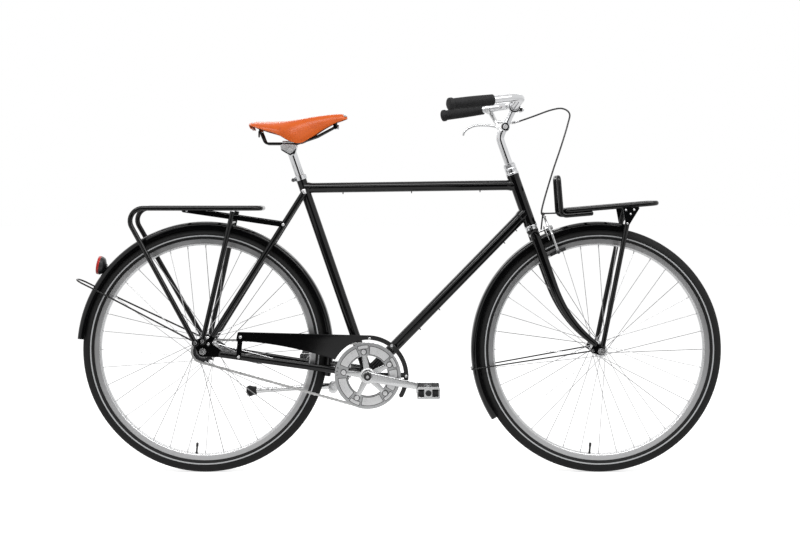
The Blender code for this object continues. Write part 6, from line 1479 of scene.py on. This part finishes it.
def saddle():
    deselect()
    bpy.ops.mesh.primitive_grid_add(x_subdivisions=84, y_subdivisions=30, size=2, location=(0, 0, 0))
    piece = named("leather_saddle")
    for vert in piece.data.vertices:
        share = (vert.co.x + 1) / 2
        roll = max(0.0, 1 - share / SADDLE_ROLL)
        share = max(0.0, share - SADDLE_ROLL) / (1 - SADDLE_ROLL)
        share = share - 0.09 * math.sin(math.tau * share) / math.tau
        place = on_saddle(share, vert.co.y * math.pi / 2)
        tuck = 1 - math.cos(roll * math.pi * 0.62)
        drop = 20.5 * math.sin(roll * math.pi * 0.5) * (1 - 0.45 * abs(vert.co.y))
        place.x += 4 * tuck - 1.5
        place.y *= 1 - 0.02 * tuck
        place.z -= drop * (0.4 + 0.6 * roll)
        vert.co = place * MM
    modified(piece, "SOLIDIFY", thickness=LEATHER_THICKNESS * MM, offset=-1)
    sealed(piece)
    rounding = {"segments": 2, "limit_method": "ANGLE", "angle_limit": math.radians(60)}
    modified(piece, "BEVEL", width=0.9 * MM, **rounding)
    fitted(piece, leather, "seat", "leather", "saddle_top", degrees=60)
    rivets = []
    rows = ((0.972, (-0.42, 0, 0.42), 0.25, 0.8), (0.035, (-0.62, -0.3, 0, 0.3, 0.62), -0.55, 0.35))
    for share, spots, lean, splay in rows:
        for spot in spots:
            bend = spot * math.pi / 2
            out = Vector((lean, math.sin(bend) * splay, math.cos(bend)))
            rivets.append(dome("rivet", on_saddle(share, bend) - UPWARD * 0.4, out, 5.2, 1.6))
    fitted(joined("saddle_rivets", rivets), bright_steel, "seat", "steel")


def saddle_frame():
    """The rails, the nose bar on its riser, the bag loops and the cantle plate."""
    nose = at(-179.2, 0, 973.6)
    pieces = [crossbar("nose_bar", nose, 6, 24, 12), tube("riser", [nose, at(nose.x, 0, 1004)], 6)]
    course = ((-388.7, 30, 960.6), (-374.7, 22.5, RAILS_Z), (-289.9, 22.5, RAILS_Z), (-229.9, 15.8, 946.6))
    for hand in HANDS:
        rail = route(hand, *course, (nose.x, 7, nose.z))
        pieces.append(tube("rail", rounded(rail, 12), 3.5, sides=16))
        loop = route(hand, (-390, 39, 960), (-390, 39, 944), (-390, 52, 944), (-390, 52, 960))
        pieces.append(tube("bag_loop", rounded(loop, 4, 5), 1.8, sides=10))
    pieces.append(block("cantle", at(-388.7, 0, 966.5), (4.8, 90, 23.6), 1.8))
    fitted(joined("saddle_rails_and_cantle", pieces), paint, "seat", "black_plastic", "saddle_frame")
    fitted(hex_nut("saddle_nose_nut", nose + AHEAD * 5.5, AHEAD, 6.6, 5), bright_steel, "seat", "steel")


def seat_post():
    pieces = [tube("post", [seat_line(469), at(-303.9, 0, 908.6)], SEAT_POST_RADIUS, sides=32)]
    head = around((at(-323.9, 0, 913.6), 9), (at(-295.9, 0, 913.6), 9), (at(-302.4, 0, 904.3), 12))
    pieces.append(stamped("head", [head], 34, 0, 2.2))
    fitted(joined("seat_post_and_head", pieces), chrome, "seat", "chrome", "seat_post")
    cheek = around((at(-324.9, 0, 918), 7.5), (at(-294.9, 0, 918), 7.5), (at(-305.9, 0, 907.5), 8.5))
    pieces = []
    for hand in HANDS:
        pieces.append(stamped("cheek", [cheek], 9.5, hand * 22.2, 1.6))
        pieces.append(block("upper", at(-309.9, hand * 22.5, 931), (34, 10.5, 6), 1.4))
    fitted(joined("saddle_clamp", pieces), panel_alloy, "seat", "chrome")
    place = at(-305.9, 0, 910.5)
    pieces = [crossbar("bolt", place, 4, 16, 30)]
    pieces += [hex_nut("nut", place + ACROSS * hand * 26.8, ACROSS * hand, 7.5, 6) for hand in HANDS]
    fitted(joined("saddle_clamp_bolt", pieces), panel_alloy, "seat", "steel")


# Studio, in metres

FLOOR_GLOW = 0.66
ROOM_LIGHT = 0.40
CARD_TONE = (0.05, 0.05, 0.05)
FLOOR_LIT = (0.42, 0.42, 0.42)
FLOOR_SEEN = (0.88, 0.88, 0.88)
CAMERA_AT = (0.0037, -3.9, 0.782)
CAMERA_LENS = 62.06
CAMERA_SHIFT = -0.0894


def backdrop():
    """A white floor that keeps its shadows, in a room that looks white to the camera and in gloss."""
    deselect()
    bpy.ops.mesh.primitive_plane_add(size=60, location=(0, 0, 0))
    floor = named("floor")
    white = Finish("white_floor", {"Roughness": 0.9, "Specular IOR Level": 0.0})
    seen = white.seen_by("Camera")
    white.feed("Base Color", white.tint(seen, FLOOR_LIT, FLOOR_SEEN))
    rays = seen + white.seen_by("Glossy") + white.seen_by("Transmission")
    glow = white.node("ShaderNodeEmission", {}, {"Color": (1, 1, 1, 1), "Strength": rays * FLOOR_GLOW})
    white.show("ShaderNodeAddShader", {0: Amount(white, white.shader.outputs[0]), 1: glow})
    floor.data.materials.append(white.material)
    world = bpy.data.worlds.new("studio")
    world.use_nodes = True
    room = Nodes(world.node_tree)
    rays = room.seen_by("Camera") + room.seen_by("Glossy") + room.seen_by("Transmission")
    strength = room.node("ShaderNodeMapRange", {}, {"Value": rays, "To Min": ROOM_LIGHT})
    background = room.tree.nodes["Background"]
    background.inputs["Color"].default_value = (1, 1, 1, 1)
    room.tree.links.new(strength.socket, background.inputs["Strength"])
    bpy.context.scene.world = world


def dark_cards():
    """Dark cards behind and below the camera, seen only in what is polished."""
    black = Finish("card_black", {"Roughness": 1.0, "Specular IOR Level": 0.0})
    black.shader.inputs["Base Color"].default_value = (*CARD_TONE, 1)
    clear = black.node("ShaderNodeBsdfTransparent", {}, {})
    dark = Amount(black, black.shader.outputs[0])
    black.show("ShaderNodeMixShader", {0: black.seen_by("Glossy"), 1: clear, 2: dark})
    for name, place, size, lean in (
        ("upright_card", (0, -6.5, 3.0), (4.4, 6.0), math.pi / 2),
        ("low_rear_card", (-1.25, -3.9, 0.004), (1.7, 5.2), 0),
        ("low_front_card", (1.2, -3.9, 0.004), (1.9, 5.2), 0),
    ):
        deselect()
        bpy.ops.mesh.primitive_plane_add(size=1, location=place, rotation=(lean, 0, 0))
        card = named(name)
        card.scale = (*size, 1)
        settle(card)
        card.data.materials.append(black.material)


def lamp(name, place, aim, width, depth, power):
    deselect()
    bpy.ops.object.light_add(type="AREA", location=place)
    light = bpy.context.object
    light.name = name
    light.data.shape = "RECTANGLE"
    light.data.size = width
    light.data.size_y = depth
    light.data.energy = power
    light.rotation_euler = (Vector(aim) - Vector(place)).to_track_quat("-Z", "Y").to_euler()


def studio():
    backdrop()
    dark_cards()
    lamp("overhead_strip", (0, -1.3, 2.6), (0, 0, 0.5), 4.5, 0.38, 50)
    lamp("front_strip", (0.3, -3.6, 2.4), (0, 0, 0.5), 4.0, 0.30, 20)
    lamp("back_light", (-0.6, 2.6, 2.4), (0, 0, 0.6), 4.0, 0.4, 22)
    deselect()
    bpy.ops.object.camera_add(location=CAMERA_AT, rotation=(math.pi / 2, 0, 0))
    camera = bpy.context.object
    camera.data.lens = CAMERA_LENS
    camera.data.shift_y = CAMERA_SHIFT
    camera.data.clip_end = 200
    bpy.context.scene.camera = camera
    bpy.context.scene.view_settings.view_transform = "Standard"


main_tubes()
rear_triangle()
seat_collar()
headset()
front_wheel()
rear_wheel()
fenders()
reflector()
rear_rack()
front_rack()
chain()
chainring()
crank_arm("right_crank_arm", -1, "crank_right")
crank_arm("left_crank_arm", 1, "crank_left")
pedal("right", -1)
pedal("left", 1)
chain_guard()
kickstand()
fork()
stem()
handlebar()
brake_lever()
brake_cable()
calliper()
saddle()
saddle_frame()
seat_post()
studio()
